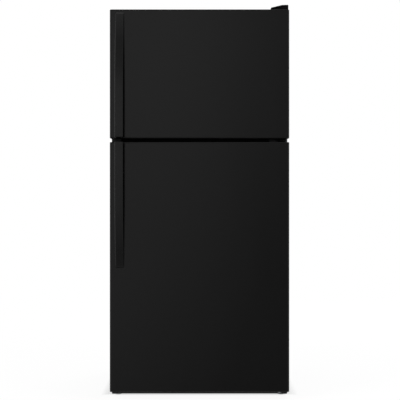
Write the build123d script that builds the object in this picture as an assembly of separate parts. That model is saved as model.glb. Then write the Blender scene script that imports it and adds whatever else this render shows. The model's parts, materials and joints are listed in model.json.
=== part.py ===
from build123d import *
import os

# Whole appliance, in millimetres: X to the right, Y to the back, Z up from the floor
door_width = 756.0
cabinet_inset = 2.0
cabinet_depth = 645.0
door_thickness = 62.0
gasket_gap = 14.0
handle_projection = 48.0
floor_gap = 36.0
fridge_door_height = 1051.0
freezer_door_height = 542.0
door_gap = 16.0
top_clearance = 2.0

# Clearances: parts that sit together, shafts in holes, and how far a cut runs past a face
fit_gap = 0.3
running_gap = 0.06
overcut = 5.0

# Cabinet walls
shell_sheet = 1.0
rear_sheet = 1.0
shell_corner = 6.0
flange_width = 40.0
face_bottom = 40.0
face_top = 96.0
skirt_bottom = 22.0
fridge_wall = 46.0
freezer_wall = 60.0
fridge_rear_wall = 52.0
freezer_rear_wall = 60.0
floor_wall = 46.0
mullion_height = 76.0
mullion_lip = 6.0
mullion_return = 14.0
liner_sheet = 2.0
liner_corner = 16.0

# Base frame and the machine bay at the back of it
base_top = 56.0
base_bar = 20.0
base_sheet = 1.5
rail_width = 40.0
rail_sheet = 2.0
rail_bottom = 12.0
plate_level = 28.0
bay_depth = 190.0
bay_top = 250.0
bay_wall = 40.0
bay_cover_recess = 3.2
bay_cover_sheet = 1.8
bay_slot_length = 58.0
bay_slot_height = 6.0
bay_slot_pitch_x = 74.0
bay_slot_pitch_z = 18.0
bay_slot_columns = 7
bay_slot_rows = 7

# Feet and rear rollers
leg_setback = 62.0
leg_foot_radius = 15.0
leg_foot_height = 9.0
leg_thread_radius = 5.0
leg_travel = 12.0
leg_nut_bottom = 24.0
leg_nut_height = 8.0
leg_nut_length = 30.0
roller_radius = 20.0
roller_width = 22.0
roller_inset = 60.0
axle_radius = 5.0

# Base grille
grille_reach = 8.0
grille_bottom = 16.0
grille_sheet = 3.0
grille_slot_width = 5.0
grille_slot_pitch = 14.0
grille_slot_margin = 5.0

# Hinges, with one vertical axis for both doors
hinge_inset = 20.0
hinge_setback = 30.0
hinge_plate = 4.0
hinge_pin_radius = 6.0
hinge_pin_reach = 14.0
hinge_shoulder_radius = 10.0
hinge_arm = 14.0
hinge_arm_width = 46.0
top_hinge_length = 60.0
centre_flange_width = 76.0
centre_flange_height = 30.0
cover_width = 73.0
cover_height = 23.0
cover_start = 8.5
cover_ramp = 48.0
cover_ramp_height = 20.5
cover_wall = 2.0
cover_corner = 3.0
cover_front_reach = 18.0
cover_rear_reach = 66.0
screw_head_radius = 4.5
screw_head_height = 2.4
screw_shank_radius = 2.2
screw_gap = 0.2

# Doors
door_sheet = 1.0
door_edge_radius = 9.0
cap_lip = 4.0
cap_plug = 16.0
cap_wrap = 9.0
cap_edge_radius = 2.5
panel_sheet = 2.5
gasket_side_inset = 21.0
gasket_end_inset = 10.0
gasket_width = 18.0
gasket_base = 5.0
gasket_bulb = 12.0
gasket_corner = 8.0
dike_clearance = 24.0
dike_end_clearance = 14.0
dike_width = 20.0
dike_reach = 46.0
dike_wall = 2.5
lug_height = 8.0
lug_reach = 9.0
freezer_lug_reach = 5.0
lug_length = 60.0

# Handles, mirrored about the door gap
handle_width = 35.0
handle_inset = 25.0
handle_length = 526.0
handle_end_gap = 1.5
handle_straight = 150.0
handle_thickness = 13.0
handle_tip = 11.0
handle_foot = 84.0
handle_post = 16.0
handle_post_width = 20.0
handle_edge = 4.5
handle_front_facing = -0.7

# Door bins
bin_wall = 2.5
bin_corner = 22.0
freezer_bin_corner = 10.0
fridge_bin_reach = 108.0
freezer_bin_reach = 90.0
bin_middle_gap = 6.0
bin_lift = 4.0
bottom_bin_height = 110.0
gallon_bin_rise = 240.0
gallon_bin_height = 105.0
dairy_drop = 257.0
dairy_height = 86.0
dairy_lid_sheet = 2.5
dairy_lid_drop = 40.0
dairy_pin_radius = 3.0
dairy_pin_back = 18.0
dairy_pin_down = 8.0
freezer_bin_pitch = 205.0
freezer_bin_height = 84.0
slide_rail_rise = 490.0
slide_rail_height = 16.0
slide_rail_depth = 10.0
slide_rail_back = 14.0
slide_bin_width = 250.0
slide_bin_height = 92.0
slide_hook = 2.7

# Shelves and crispers
shelf_rises = (456.0, 686.0)
spare_rises = (346.0, 571.0, 801.0)
shelf_setback = 130.0
shelf_rear_gap = 34.0
shelf_side_gap = 4.0
shelf_rim = 14.0
shelf_rim_height = 14.0
glass_thickness = 4.0
glass_bearing = 8.0
ledge_reach = 9.0
ledge_height = 8.0
crisper_setback = 132.0
crisper_bottom_gap = 5.0
crisper_rear_gap = 10.0
crisper_rail_rise = 184.0
crisper_rim_height = 8.0
crisper_rim_reach = 9.0
crisper_wall = 2.5
crisper_corner = 18.0
crisper_front_sheet = 14.0
crisper_front_rise = 8.0
crisper_front_lap = 3.0
crisper_front_corner = 10.0
crisper_scoop_radius = 12.0
crisper_scoop_drop = 46.0
crisper_scoop_length = 150.0
crisper_cover_gap = 10.0
crisper_web = 8.0
slider_width = 22.0
slider_height = 11.0
slider_depth = 8.0
slider_pocket = 5.0
slider_travel = 40.0
slider_drop = 18.0

# Freezer fittings
wire_shelf_rise = 227.0
wire_frame_radius = 4.0
wire_radius = 1.8
wire_pitch = 26.0
wire_shelf_setback = 112.0
wire_side_gap = 3.0
evaporator_space = 80.0
evaporator_sheet = 3.0
evaporator_width = 440.0
evaporator_fin_pitch = 22.0
evaporator_fin_sheet = 1.0
evaporator_depth = 48.0
evaporator_height = 170.0
evaporator_rise = 30.0
evaporator_tube_radius = 4.0
evaporator_tube_rows = 5
heater_radius = 4.0
heater_drop = 12.0
vent_slot_length = 34.0
vent_slot_height = 7.0
vent_slot_pitch_x = 46.0
vent_slot_pitch_z = 16.0
vent_slot_columns = 9
vent_slot_rows = 3
evaporator_fan_drop = 130.0

# Fans, one size for both
fan_radius = 46.0
fan_hub_radius = 14.0
fan_hub_length = 18.0
fan_blades = 5
fan_blade_sheet = 1.6
fan_blade_width = 20.0
fan_blade_pitch = 32.0
fan_tip_gap = 5.0
fan_stand_off = 34.0
fan_bracket_sheet = 3.0
fan_bracket_width = 22.0
fan_post_radius = 5.0
fan_motor_radius = 24.0
fan_motor_length = 30.0
fan_shaft_radius = 3.0
fan_shaft_hole = 7.0
fan_hub_gap = 8.0

# Machine bay contents
compressor_side_gap = 70.0
compressor_half_length = 100.0
compressor_half_width = 68.0
compressor_height = 140.0
compressor_dome = 36.0
compressor_foot_sheet = 3.0
compressor_foot_x = 86.0
compressor_foot_y = 62.0
compressor_foot_margin = 14.0
grommet_radius = 11.0
grommet_height = 15.0
relay_width = 46.0
relay_depth = 24.0
relay_height = 60.0
relay_rise = 42.0
shroud_gap = 95.0
shroud_sheet = 2.5
shroud_side_gap = 26.0
shroud_top_gap = 20.0
coil_start_gap = 105.0
coil_end_gap = 45.0
coil_tube_radius = 3.2
coil_pitch_z = 25.0
coil_pitch_y = 42.0
coil_rows = 6
coil_layers = 3
coil_bend = 11.0
coil_rise = 40.0
coil_bracket_sheet = 1.5
coil_bracket_inset = 24.0
coil_bracket_margin = 10.0
line_stub_reach = 12.0
line_stub_radius = 5.0
line_stub_offset = 30.0
line_stub_rise = 50.0
line_wall_gap = 12.0
line_lead = 34.0
pan_height = 22.0
pan_wall = 2.0
pan_side_gap = 6.0
gland_radius = 11.0
gland_flange_radius = 15.0
gland_flange_height = 2.0
gland_bore_radius = 4.5
gland_side_gap = 37.0
gland_level = 92.0

# Control box, light and its switch
control_half_width = 165.0
control_setback = 156.0
control_depth = 170.0
control_height = 48.0
control_chamfer = 14.0
control_wall = 2.5
lens_margin = 34.0
lens_sheet = 2.5
lens_flange = 4.0
knob_radius = 14.0
knob_length = 15.0
knob_grip_width = 6.0
knob_grip_height = 7.0
knob_shaft_radius = 4.0
knob_offset = 70.0
switch_offset = 235.0
switch_width = 26.0
switch_length = 44.0
switch_height = 36.0
switch_gap = 9.0
switch_button_radius = 4.5
switch_button_length = 32.0

# Air duct on the fridge's back wall
duct_half_width = 62.0
duct_depth = 24.0
duct_wall = 2.5
duct_lift = 70.0
duct_drop = 97.0
duct_slot_length = 46.0
duct_slot_height = 8.0
duct_slot_pitch = 120.0
duct_slot_count = 4

# Places that follow from the sizes above
handle_front = -(handle_projection + door_thickness + gasket_gap + cabinet_depth) / 2
door_front = handle_front + handle_projection
door_back = door_front + door_thickness
cabinet_front = door_back + gasket_gap
cabinet_back = cabinet_front + cabinet_depth
rear_panel_front = cabinet_back - rear_sheet
half_door = door_width / 2
half_cabinet = half_door - cabinet_inset
half_inside = half_cabinet - shell_sheet
flange_inner = half_cabinet - flange_width
fridge_door_bottom = floor_gap
fridge_door_top = fridge_door_bottom + fridge_door_height
freezer_door_bottom = fridge_door_top + door_gap
freezer_door_top = freezer_door_bottom + freezer_door_height
cabinet_top = freezer_door_top + top_clearance
split_level = (fridge_door_top + freezer_door_bottom) / 2

fridge_half = half_cabinet - fridge_wall
fridge_floor = base_top + floor_wall + liner_sheet
fridge_ceiling = split_level - mullion_height / 2
fridge_rear = rear_panel_front - fridge_rear_wall
freezer_half = half_cabinet - freezer_wall
freezer_floor = split_level + mullion_height / 2
freezer_ceiling = cabinet_top - freezer_wall
freezer_rear = rear_panel_front - freezer_rear_wall
mullion_low = fridge_ceiling + mullion_lip
mullion_high = freezer_floor - mullion_lip
bay_front = rear_panel_front - bay_depth
hump_face = bay_front - bay_wall
hump_top = bay_top + base_sheet + bay_wall
rail_inner = half_inside - rail_width
rail_middle = half_inside - rail_width / 2
plate_top = plate_level + base_sheet
bay_cover_back = cabinet_back - bay_cover_recess
bay_cover_front = bay_cover_back - bay_cover_sheet
compressor_x = -half_inside + compressor_side_gap + compressor_half_length
shroud_x = compressor_x + compressor_half_length + shroud_gap
coil_start = shroud_x + coil_start_gap
coil_end = half_inside - coil_end_gap
gland_x = -half_inside + gland_side_gap
leg_y = cabinet_front + leg_setback
roller_y = rear_panel_front - roller_inset

hinge_x = half_door - hinge_inset
hinge_y = door_front + hinge_setback
dike_back = cabinet_front + dike_reach
dike_bar_top = dike_end_clearance + dike_width
bottom_bin_level = fridge_floor + dike_bar_top + lug_height + bin_lift
gallon_bin_level = bottom_bin_level + gallon_bin_rise
slide_rail_level = bottom_bin_level + slide_rail_rise
dairy_level = fridge_ceiling - dairy_drop
freezer_low_bin = freezer_floor + dike_bar_top + lug_height + bin_lift
freezer_high_bin = freezer_low_bin + freezer_bin_pitch
fridge_bin_back = cabinet_front + fridge_bin_reach
freezer_bin_back = cabinet_front + freezer_bin_reach
fridge_dike_half = fridge_half - dike_clearance
freezer_dike_half = freezer_half - dike_clearance
fridge_bin_half = fridge_dike_half - dike_width - fit_gap
freezer_bin_half = freezer_dike_half - dike_width - fit_gap

shelf_levels = [fridge_floor + rise for rise in shelf_rises]
spare_levels = [fridge_floor + rise for rise in spare_rises]
shelf_front = cabinet_front + shelf_setback
shelf_rear = fridge_rear - shelf_rear_gap
shelf_half = fridge_half - shelf_side_gap
crisper_rail_level = fridge_floor + crisper_rail_rise
crisper_front = cabinet_front + crisper_setback
crisper_rear = hump_face - crisper_rear_gap
crisper_top = crisper_rail_level + fit_gap + crisper_rim_height
crisper_cover_level = crisper_top + crisper_front_rise + crisper_cover_gap
wire_shelf_level = freezer_floor + wire_shelf_rise
duct_top = fridge_ceiling - duct_drop
evaporator_cover_front = freezer_rear - evaporator_space
evaporator_cover_back = evaporator_cover_front + evaporator_sheet
evaporator_fan_level = freezer_ceiling - evaporator_fan_drop
bay_middle = (bay_front + base_sheet + bay_cover_front) / 2
condenser_fan_level = plate_top + (bay_top - plate_top) / 2
control_front = cabinet_front + control_setback
control_rear = control_front + control_depth
control_bottom = fridge_ceiling - control_height
knob_level = fridge_ceiling - (control_height - control_chamfer) / 2
switch_level = fridge_ceiling - dike_end_clearance - dike_width / 2
switch_tip = dike_back + fit_gap

fridge_door = {
    "bottom": fridge_door_bottom,
    "top": fridge_door_top,
    "dike_half": fridge_dike_half,
    "dike_bottom": fridge_floor + dike_end_clearance,
    "dike_top": fridge_ceiling - dike_end_clearance,
}
freezer_door = {
    "bottom": freezer_door_bottom,
    "top": freezer_door_top,
    "dike_half": freezer_dike_half,
    "dike_bottom": freezer_floor + dike_end_clearance,
    "dike_top": freezer_ceiling - dike_end_clearance,
}


# Simple bodies
def both(half):
    return (-half, half)


def block(x, y, z):
    """A box between two coordinates on each axis."""
    middle = [(pair[0] + pair[1]) / 2 for pair in (x, y, z)]
    size = [pair[1] - pair[0] for pair in (x, y, z)]
    return Pos(*middle) * Box(*size)


def rod(start, end, radius):
    """A round bar between two points."""
    along = Vector(*end) - Vector(*start)
    return extrude(Plane(origin=start, z_dir=along) * Circle(radius), amount=along.length)


def tube(points, radius, bend):
    """A round bar along straight runs joined by arcs of one radius."""
    path = FilletPolyline(*points, radius=bend)
    return sweep(Plane(origin=path @ 0, z_dir=path % 0) * Circle(radius), path=path)


def prism_x(points, x):
    """A (y, z) outline carried along X."""
    outline = make_face(Polyline(*points, close=True))
    return Pos(x[0], 0, 0) * extrude(Plane.YZ * outline, amount=x[1] - x[0])


def prism_y(points, y):
    """An (x, z) outline carried along Y."""
    outline = make_face(Polyline(*points, close=True))
    return Pos(0, y[1], 0) * extrude(Plane.XZ * outline, amount=y[1] - y[0])


def frame_block(half, z, width, y, corner):
    """A rectangular ring in the XZ plane with round corners."""
    outer = block(both(half), y, z)
    outer = fillet(outer.edges().filter_by(Axis.Y), corner)
    hole = block(both(half - width), (y[0] - overcut, y[1] + overcut), (z[0] + width, z[1] - width))
    return outer - hole


def slots(columns, rows, pitch_x, pitch_z, length, height, y, middle_x, low_z):
    """A grid of level slots through a wall that faces Y."""
    grid = []
    for column in range(columns):
        x = middle_x + (column - (columns - 1) / 2) * pitch_x
        for row in range(rows):
            z = low_z + row * pitch_z
            grid.append(block((x - length / 2, x + length / 2), y, (z, z + height)))
    return grid


def tub(x, y, z, wall, corner):
    """An open-topped bin with round corners on the side away from the door."""
    outer = block(x, y, z)
    outer = fillet(outer.edges().filter_by(Axis.Z).group_by(Axis.Y)[-1], corner)
    inner = block((x[0] + wall, x[1] - wall), (y[0] + wall, y[1] - wall), (z[0] + wall, z[1] + overcut))
    inner = fillet(inner.edges().filter_by(Axis.Z).group_by(Axis.Y)[-1], corner - wall)
    return outer - inner


def screw(seat, outward, grip):
    """A pan-head screw whose shank goes through a plate of the given grip."""
    seat = Vector(*seat)
    outward = Vector(*outward)
    head = rod(seat, seat + outward * screw_head_height, screw_head_radius)
    return head + rod(seat, seat - outward * (grip - screw_gap), screw_shank_radius)


def screw_hole(seat, outward, grip):
    """The clearance hole for one screw."""
    seat = Vector(*seat)
    outward = Vector(*outward)
    return rod(seat + outward * overcut, seat - outward * (grip + overcut), screw_shank_radius + screw_gap)


# Cabinet
def rounded_top(solid, radius):
    """Rounds the two top edges that run from front to back."""
    return fillet(solid.edges().filter_by(Axis.Y).group_by(Axis.Z)[-1], radius)


def cabinet_shell():
    outer = block(both(half_cabinet), (cabinet_front, rear_panel_front), (skirt_bottom, cabinet_top))
    outer = rounded_top(outer, shell_corner)
    depth = (cabinet_front + shell_sheet, cabinet_back)
    inner = block(both(half_inside), depth, (skirt_bottom - overcut, cabinet_top - shell_sheet))
    inner = rounded_top(inner, shell_corner - shell_sheet)
    front = (cabinet_front - overcut, cabinet_front + overcut)
    window = block(both(flange_inner), front, (face_top, cabinet_top - flange_width))
    toe = block(both(half_inside), front, (skirt_bottom - overcut, face_bottom))
    return outer - inner - window - toe


def rear_panel():
    sheet = block(both(half_cabinet), (rear_panel_front, cabinet_back), (bay_top, cabinet_top))
    return rounded_top(sheet, shell_corner)


def fridge_cavity(grow):
    """The fridge space, stepped over the machine bay and grown by a sheet's thickness."""
    low = fridge_floor - grow
    high = fridge_ceiling + grow
    step = hump_face + grow
    step_top = hump_top - grow
    rear = fridge_rear + grow
    front_edge = [(cabinet_front, high), (cabinet_front, low)]
    outline = front_edge + [(step, low), (step, step_top), (rear, step_top), (rear, high)]
    return prism_x(outline, both(fridge_half + grow))


def freezer_cavity(grow):
    """The freezer space, grown by a sheet's thickness."""
    z = (freezer_floor - grow, freezer_ceiling + grow)
    return block(both(freezer_half + grow), (cabinet_front, freezer_rear + grow), z)


def softened(cavity, radius):
    """Rounds every edge of a cavity that is not on its open front."""
    inside = [edge for edge in cavity.edges() if edge.center().Y > cabinet_front + overcut]
    return fillet(inside, radius)


def fridge_lip():
    y = (cabinet_front, cabinet_front + liner_sheet)
    return block(both(flange_inner), y, (face_top, mullion_low))


def freezer_lip():
    y = (cabinet_front, cabinet_front + liner_sheet)
    return block(both(flange_inner), y, (mullion_high, cabinet_top - flange_width))


def side_ledges(half, y, level, reach, height):
    """A pair of ledges moulded on the side walls, with their tops at one level."""
    pair = []
    for side in (-1, 1):
        x = sorted((side * half, side * (half - reach)))
        pair.append(block(x, y, (level - height, level)))
    return pair


def fridge_liner():
    walls = softened(fridge_cavity(liner_sheet), liner_corner + liner_sheet) + fridge_lip()
    liner = walls - softened(fridge_cavity(0), liner_corner)
    shelf_y = (shelf_front + shelf_rim, shelf_rear - shelf_rim)
    crisper_y = (crisper_front + crisper_front_sheet + fit_gap, hump_face - liner_corner)
    ledges = []
    for level in shelf_levels + spare_levels:
        ledges += side_ledges(fridge_half, shelf_y, level, ledge_reach, ledge_height)
    for level in (crisper_rail_level, crisper_cover_level):
        ledges += side_ledges(fridge_half, crisper_y, level, ledge_reach, ledge_height)
    return liner + ledges


def freezer_liner():
    walls = softened(freezer_cavity(liner_sheet), liner_corner + liner_sheet) + freezer_lip()
    liner = walls - softened(freezer_cavity(0), liner_corner)
    level = wire_shelf_level - wire_frame_radius
    y = (cabinet_front + wire_shelf_setback, evaporator_cover_front - liner_corner)
    return liner + side_ledges(freezer_half, y, level, ledge_reach, ledge_height)


def mullion_rail():
    """The painted rail between the two openings, turned back at its edges."""
    z = (mullion_low, mullion_high)
    outer = block(both(flange_inner), (cabinet_front, cabinet_front + mullion_return), z)
    hollow_y = (cabinet_front + shell_sheet, cabinet_front + mullion_return + overcut)
    hollow = block(both(flange_inner + overcut), hollow_y, (z[0] + shell_sheet, z[1] - shell_sheet))
    return outer - hollow


def cabinet_foam():
    z = (base_top, cabinet_top - shell_sheet)
    body = block(both(half_inside), (cabinet_front + shell_sheet, rear_panel_front), z)
    body = rounded_top(body, shell_corner)
    bay_y = (bay_front, cabinet_back)
    bay = block(both(half_cabinet), bay_y, (base_top - overcut, bay_top + base_sheet))
    gaps = [fridge_cavity(liner_sheet), freezer_cavity(liner_sheet), fridge_lip(), freezer_lip()]
    bend = liner_corner + liner_sheet
    step = (hump_face + liner_sheet, hump_top - liner_sheet)
    gaps.append(block(both(fridge_half + liner_sheet), (step[0], step[0] + bend), (step[1] - bend, step[1])))
    return body - gaps - bay - mullion_rail()


# Base
def side_rail(side):
    """A downward channel that carries a levelling leg and a roller."""
    x = sorted((side * rail_inner, side * half_inside))
    y = (cabinet_front + shell_sheet, bay_cover_front - fit_gap)
    rail = block(x, y, (rail_bottom, base_top))
    inner_x = (x[0] + rail_sheet, x[1] - rail_sheet)
    inner_y = (y[0] + base_bar, y[1] + overcut)
    rail -= block(inner_x, inner_y, (rail_bottom - overcut, base_top - rail_sheet))
    nut_y = (leg_y - leg_nut_length / 2, leg_y + leg_nut_length / 2)
    rail += block(inner_x, nut_y, (leg_nut_bottom, leg_nut_bottom + leg_nut_height))
    middle = side * rail_middle
    top = base_top - rail_sheet
    bore = leg_thread_radius + running_gap
    rail -= rod((middle, leg_y, rail_bottom - overcut), (middle, leg_y, top), bore)
    return rail + rod((x[0], roller_y, roller_radius), (x[1], roller_y, roller_radius), axle_radius)


def base_frame():
    bar_y = (cabinet_front + shell_sheet, cabinet_front + shell_sheet + base_bar)
    bar = block(both(half_inside), bar_y, (skirt_bottom, base_top))
    floor_y = (cabinet_front + shell_sheet, bay_front + base_sheet)
    floor_pan = block(both(half_inside), floor_y, (base_top - base_sheet, base_top))
    plate_y = (bay_front, bay_cover_front - fit_gap)
    plate = block(both(half_inside - rail_sheet), plate_y, (plate_level, plate_top))
    channel_y = (bay_front - overcut, bay_cover_front + overcut)
    for side in (-1, 1):
        x = sorted((side * (rail_inner + rail_sheet), side * half_cabinet))
        plate -= block(x, channel_y, (plate_level - overcut, plate_top + overcut))
    wall_z = (plate_level, bay_top + base_sheet)
    wall = block(both(half_inside), (bay_front, bay_front + base_sheet), wall_z)
    for side in (-1, 1):
        x = sorted((side * (rail_inner + rail_sheet), side * (half_inside - rail_sheet)))
        wall -= block(x, channel_y, (plate_level - overcut, base_top - rail_sheet))
    roof = block(both(half_inside), (bay_front, rear_panel_front), (bay_top, bay_top + base_sheet))
    return bar + [floor_pan, plate, wall, roof, side_rail(-1), side_rail(1)]


def bottom_hinge_space():
    x = (hinge_x - hinge_arm_width / 2 - fit_gap, half_cabinet)
    y = (cabinet_front - grille_reach - overcut, cabinet_front + overcut)
    return block(x, y, (grille_bottom - overcut, face_bottom))


def base_grille():
    """The vented toe strip under the lower door."""
    back = cabinet_front + shell_sheet - fit_gap
    front = cabinet_front - grille_reach
    z = (grille_bottom, face_bottom - fit_gap)
    half = half_inside - fit_gap
    strip = block(both(half), (front, back), z)
    hollow_z = (z[0] + grille_sheet, z[1] - grille_sheet)
    strip -= block(both(half - grille_sheet), (front + grille_sheet, back + overcut), hollow_z)
    count = int((half - grille_slot_pitch) // grille_slot_pitch)
    slot_z = (z[0] + grille_slot_margin, z[1] - grille_slot_margin)
    for step in range(-count, count + 1):
        x = step * grille_slot_pitch
        pair = (x - grille_slot_width / 2, x + grille_slot_width / 2)
        strip -= block(pair, (front - overcut, front + grille_sheet), slot_z)
    return strip - bottom_hinge_space()


def levelling_leg(side):
    x = side * rail_middle
    foot = rod((x, leg_y, 0), (x, leg_y, leg_foot_height), leg_foot_radius)
    foot = fillet(foot.edges().group_by(Axis.Z)[-1], leg_foot_height / 4)
    top = leg_nut_bottom + leg_nut_height + leg_travel
    return foot + rod((x, leg_y, leg_foot_height), (x, leg_y, top), leg_thread_radius)


def rear_roller(side):
    half = roller_width / 2
    x = (side * rail_middle - half, side * rail_middle + half)
    wheel = rod((x[0], roller_y, roller_radius), (x[1], roller_y, roller_radius), roller_radius)
    wheel = chamfer(wheel.edges(), rail_sheet)
    bore = axle_radius + running_gap
    start = (x[0] - overcut, roller_y, roller_radius)
    return wheel - rod(start, (x[1] + overcut, roller_y, roller_radius), bore)


# Hinges
def hinge_arm_plate(y_end, z):
    """A flat arm from the cabinet to the hinge axis, round about the pin."""
    half = hinge_arm_width / 2
    x = (hinge_x - half, min(hinge_x + half, half_inside - fit_gap))
    arm = block((x[0], hinge_x + hinge_arm), (hinge_y, y_end), z)
    nose = rod((hinge_x, hinge_y, z[0]), (hinge_x, hinge_y, z[1]), hinge_arm)
    taper_y = (hinge_y - overcut, door_back)
    taper_z = (z[0] - overcut, z[1] + overcut)
    return arm + nose - block((x[0] - overcut, hinge_x - hinge_arm), taper_y, taper_z)


def hinge_pin(low, high):
    return rod((hinge_x, hinge_y, low), (hinge_x, hinge_y, high), hinge_pin_radius)


def hinge_shoulder(low, high):
    return rod((hinge_x, hinge_y, low), (hinge_x, hinge_y, high), hinge_shoulder_radius)


def top_hinge_seats():
    rear = cabinet_front + top_hinge_length
    spots = []
    for x in (hinge_x - hinge_arm, hinge_x + hinge_arm / 2):
        for y in (cabinet_front + top_hinge_length / 3, rear - hinge_arm):
            spots.append((x, y, cabinet_top + hinge_plate))
    return spots


def top_hinge():
    z = (cabinet_top, cabinet_top + hinge_plate)
    plate = hinge_arm_plate(cabinet_front + top_hinge_length, z)
    plate += hinge_pin(freezer_door_top - hinge_pin_reach, cabinet_top)
    for seat in top_hinge_seats():
        plate -= screw_hole(seat, (0, 0, 1), hinge_plate)
    return plate


def hinge_cover():
    """The cover over the top hinge, with a sloped side towards the middle."""
    right = half_inside
    left = right - cover_width
    low = cabinet_top
    top = cabinet_top + cover_height
    y = (hinge_y - cover_front_reach, cabinet_front + cover_rear_reach)
    ramp_end = (left + cover_ramp, low + cover_ramp_height)
    outline = [(left, low), (left, low + cover_start), ramp_end, (right - cover_corner, top)]
    outline += [(right, top - cover_corner), (right, low)]
    shell = prism_y(outline, y)
    wall = cover_wall
    inner = [(left + wall, low - overcut), (left + wall, low + cover_start - wall)]
    inner += [(ramp_end[0] + wall / 2, ramp_end[1] - wall), (right - cover_corner, top - wall)]
    inner += [(right - wall, top - cover_corner - wall / 2), (right - wall, low - overcut)]
    shell -= prism_y(inner, (y[0] + wall, y[1] - wall))
    return fillet(shell.edges().filter_by(Axis.Z).group_by(Axis.Y)[0], wall / 2)


def centre_hinge_seats():
    left = half_inside - centre_flange_width
    front = cabinet_front - hinge_plate
    return [(left + step * screw_head_radius, front, split_level) for step in (2, 5)]


def centre_hinge():
    z = (split_level - hinge_plate / 2, split_level + hinge_plate / 2)
    plate = hinge_arm_plate(cabinet_front - hinge_plate, z)
    x = (half_inside - centre_flange_width, half_inside)
    flange_z = (split_level - centre_flange_height / 2, split_level + centre_flange_height / 2)
    plate += block(x, (cabinet_front - hinge_plate, cabinet_front), flange_z)
    plate += hinge_pin(fridge_door_top - hinge_pin_reach, freezer_door_bottom + hinge_pin_reach)
    plate += hinge_shoulder(z[0], freezer_door_bottom - fit_gap)
    for seat in centre_hinge_seats():
        plate -= screw_hole(seat, (0, -1, 0), hinge_plate)
    return plate


def bottom_hinge_plate_z():
    middle = (face_bottom + skirt_bottom) / 2
    return (middle - hinge_plate, middle)


def bottom_hinge_seats():
    z = bottom_hinge_plate_z()
    level = (z[1] + face_bottom) / 2
    return [(hinge_x - hinge_arm, cabinet_front + shell_sheet - hinge_plate, level)]


def bottom_hinge():
    z = bottom_hinge_plate_z()
    face = cabinet_front + shell_sheet
    plate = hinge_arm_plate(face, z)
    x = (hinge_x - hinge_arm_width / 2, hinge_x + hinge_arm)
    plate += block(x, (face - hinge_plate, face), (skirt_bottom, face_bottom - fit_gap))
    plate += hinge_pin(z[0], fridge_door_bottom + hinge_pin_reach)
    plate += hinge_shoulder(z[0], fridge_door_bottom - fit_gap)
    for seat in bottom_hinge_seats():
        plate -= screw_hole(seat, (0, -1, 0), hinge_plate)
    return plate


def bay_cover_seats():
    spots = []
    for x in (-half_inside + rail_width / 2, 0, half_inside - rail_width / 2):
        for z in (plate_top + rail_width / 2, bay_top - rail_width / 2):
            spots.append((x, bay_cover_back, z))
    return spots


def cabinet_screws():
    group = [screw(seat, (0, 0, 1), hinge_plate) for seat in top_hinge_seats()]
    group += [screw(seat, (0, -1, 0), hinge_plate) for seat in centre_hinge_seats()]
    group += [screw(seat, (0, -1, 0), hinge_plate) for seat in bottom_hinge_seats()]
    group += [screw(seat, (0, 1, 0), bay_cover_sheet) for seat in bay_cover_seats()]
    return Compound(group)


# Doors
def door_plan(z, grow):
    """The door's outline seen from above, round at its front corners."""
    back = door_back - panel_sheet
    slab = block(both(half_door + grow), (door_front - grow, back), z)
    return fillet(slab.edges().filter_by(Axis.Z).group_by(Axis.Y)[0], door_edge_radius + grow)


def door_skin(door):
    z = (door["bottom"] + cap_lip, door["top"] - cap_lip)
    hollow = door_plan((z[0] - overcut, z[1] + overcut), -door_sheet)
    back_y = (door_back - panel_sheet - overcut, door_back)
    gap = block(both(half_door - door_sheet), back_y, (z[0] - overcut, z[1] + overcut))
    return door_plan(z, 0) - hollow - gap


def door_cap(door, is_top):
    """An end cap: a lip the size of the door, a wrap behind its back edge and a plug inside the skin."""
    edge = door["top"] if is_top else door["bottom"]
    inward = -1 if is_top else 1
    lip = door_plan(sorted((edge, edge + inward * cap_lip)), 0)
    outer_edges = lip.faces().sort_by(Axis.Z)[-1 if is_top else 0].edges()
    front_edges = [side for side in outer_edges if side.center().Y < door_back - panel_sheet - overcut]
    lip = fillet(front_edges, cap_edge_radius)
    plug_z = sorted((edge + inward * cap_lip, edge + inward * (cap_lip + cap_plug)))
    cap = lip + door_plan(plug_z, -(door_sheet + fit_gap))
    wrap_z = sorted((edge, edge + inward * cap_wrap))
    cap += block(both(half_door), (door_back - panel_sheet, door_back), wrap_z)
    depth = edge + inward * (hinge_pin_reach + fit_gap)
    mouth = (hinge_x, hinge_y, edge - inward * overcut)
    return cap - rod(mouth, (hinge_x, hinge_y, depth), hinge_pin_radius + running_gap)


def door_caps(door):
    return Compound([door_cap(door, False), door_cap(door, True)])


def dike(door, inset, y):
    """The raised ring on the inner panel, or the same ring drawn in by an inset."""
    z = (door["dike_bottom"] + inset, door["dike_top"] - inset)
    half = door["dike_half"] - inset
    width = dike_width - 2 * inset
    outer = block(both(half), y, z)
    hole = block(both(half - width), (y[0] - overcut, y[1] + overcut), (z[0] + width, z[1] - width))
    return outer - hole


def door_foam(door):
    z = (door["bottom"] + cap_lip + cap_plug, door["top"] - cap_lip - cap_plug)
    core_y = (door_front + door_sheet, door_back - panel_sheet)
    core = block(both(half_door - door_sheet), core_y, z)
    core = fillet(core.edges().filter_by(Axis.Z).group_by(Axis.Y)[0], door_edge_radius)
    return core + dike(door, dike_wall, (core_y[1] - overcut, dike_back - dike_wall))


def lugs(door, level, reach):
    """A pair of lugs on the dike's sides that a bin stands on."""
    half = door["dike_half"] - dike_width
    y = (door_back, door_back + lug_length)
    return side_ledges(half, y, level, reach, lug_height)


def middle_lug(level):
    return block(both(lug_reach * 2), (door_back, door_back + lug_length), (level - lug_height, level))


def door_panel(door):
    z = (door["bottom"] + cap_wrap + fit_gap, door["top"] - cap_wrap - fit_gap)
    panel = block(both(half_door), (door_back - panel_sheet, door_back), z)
    panel += dike(door, 0, (door_back - panel_sheet, dike_back))
    return panel - dike(door, dike_wall, (door_back - panel_sheet - overcut, dike_back - dike_wall))


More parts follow.
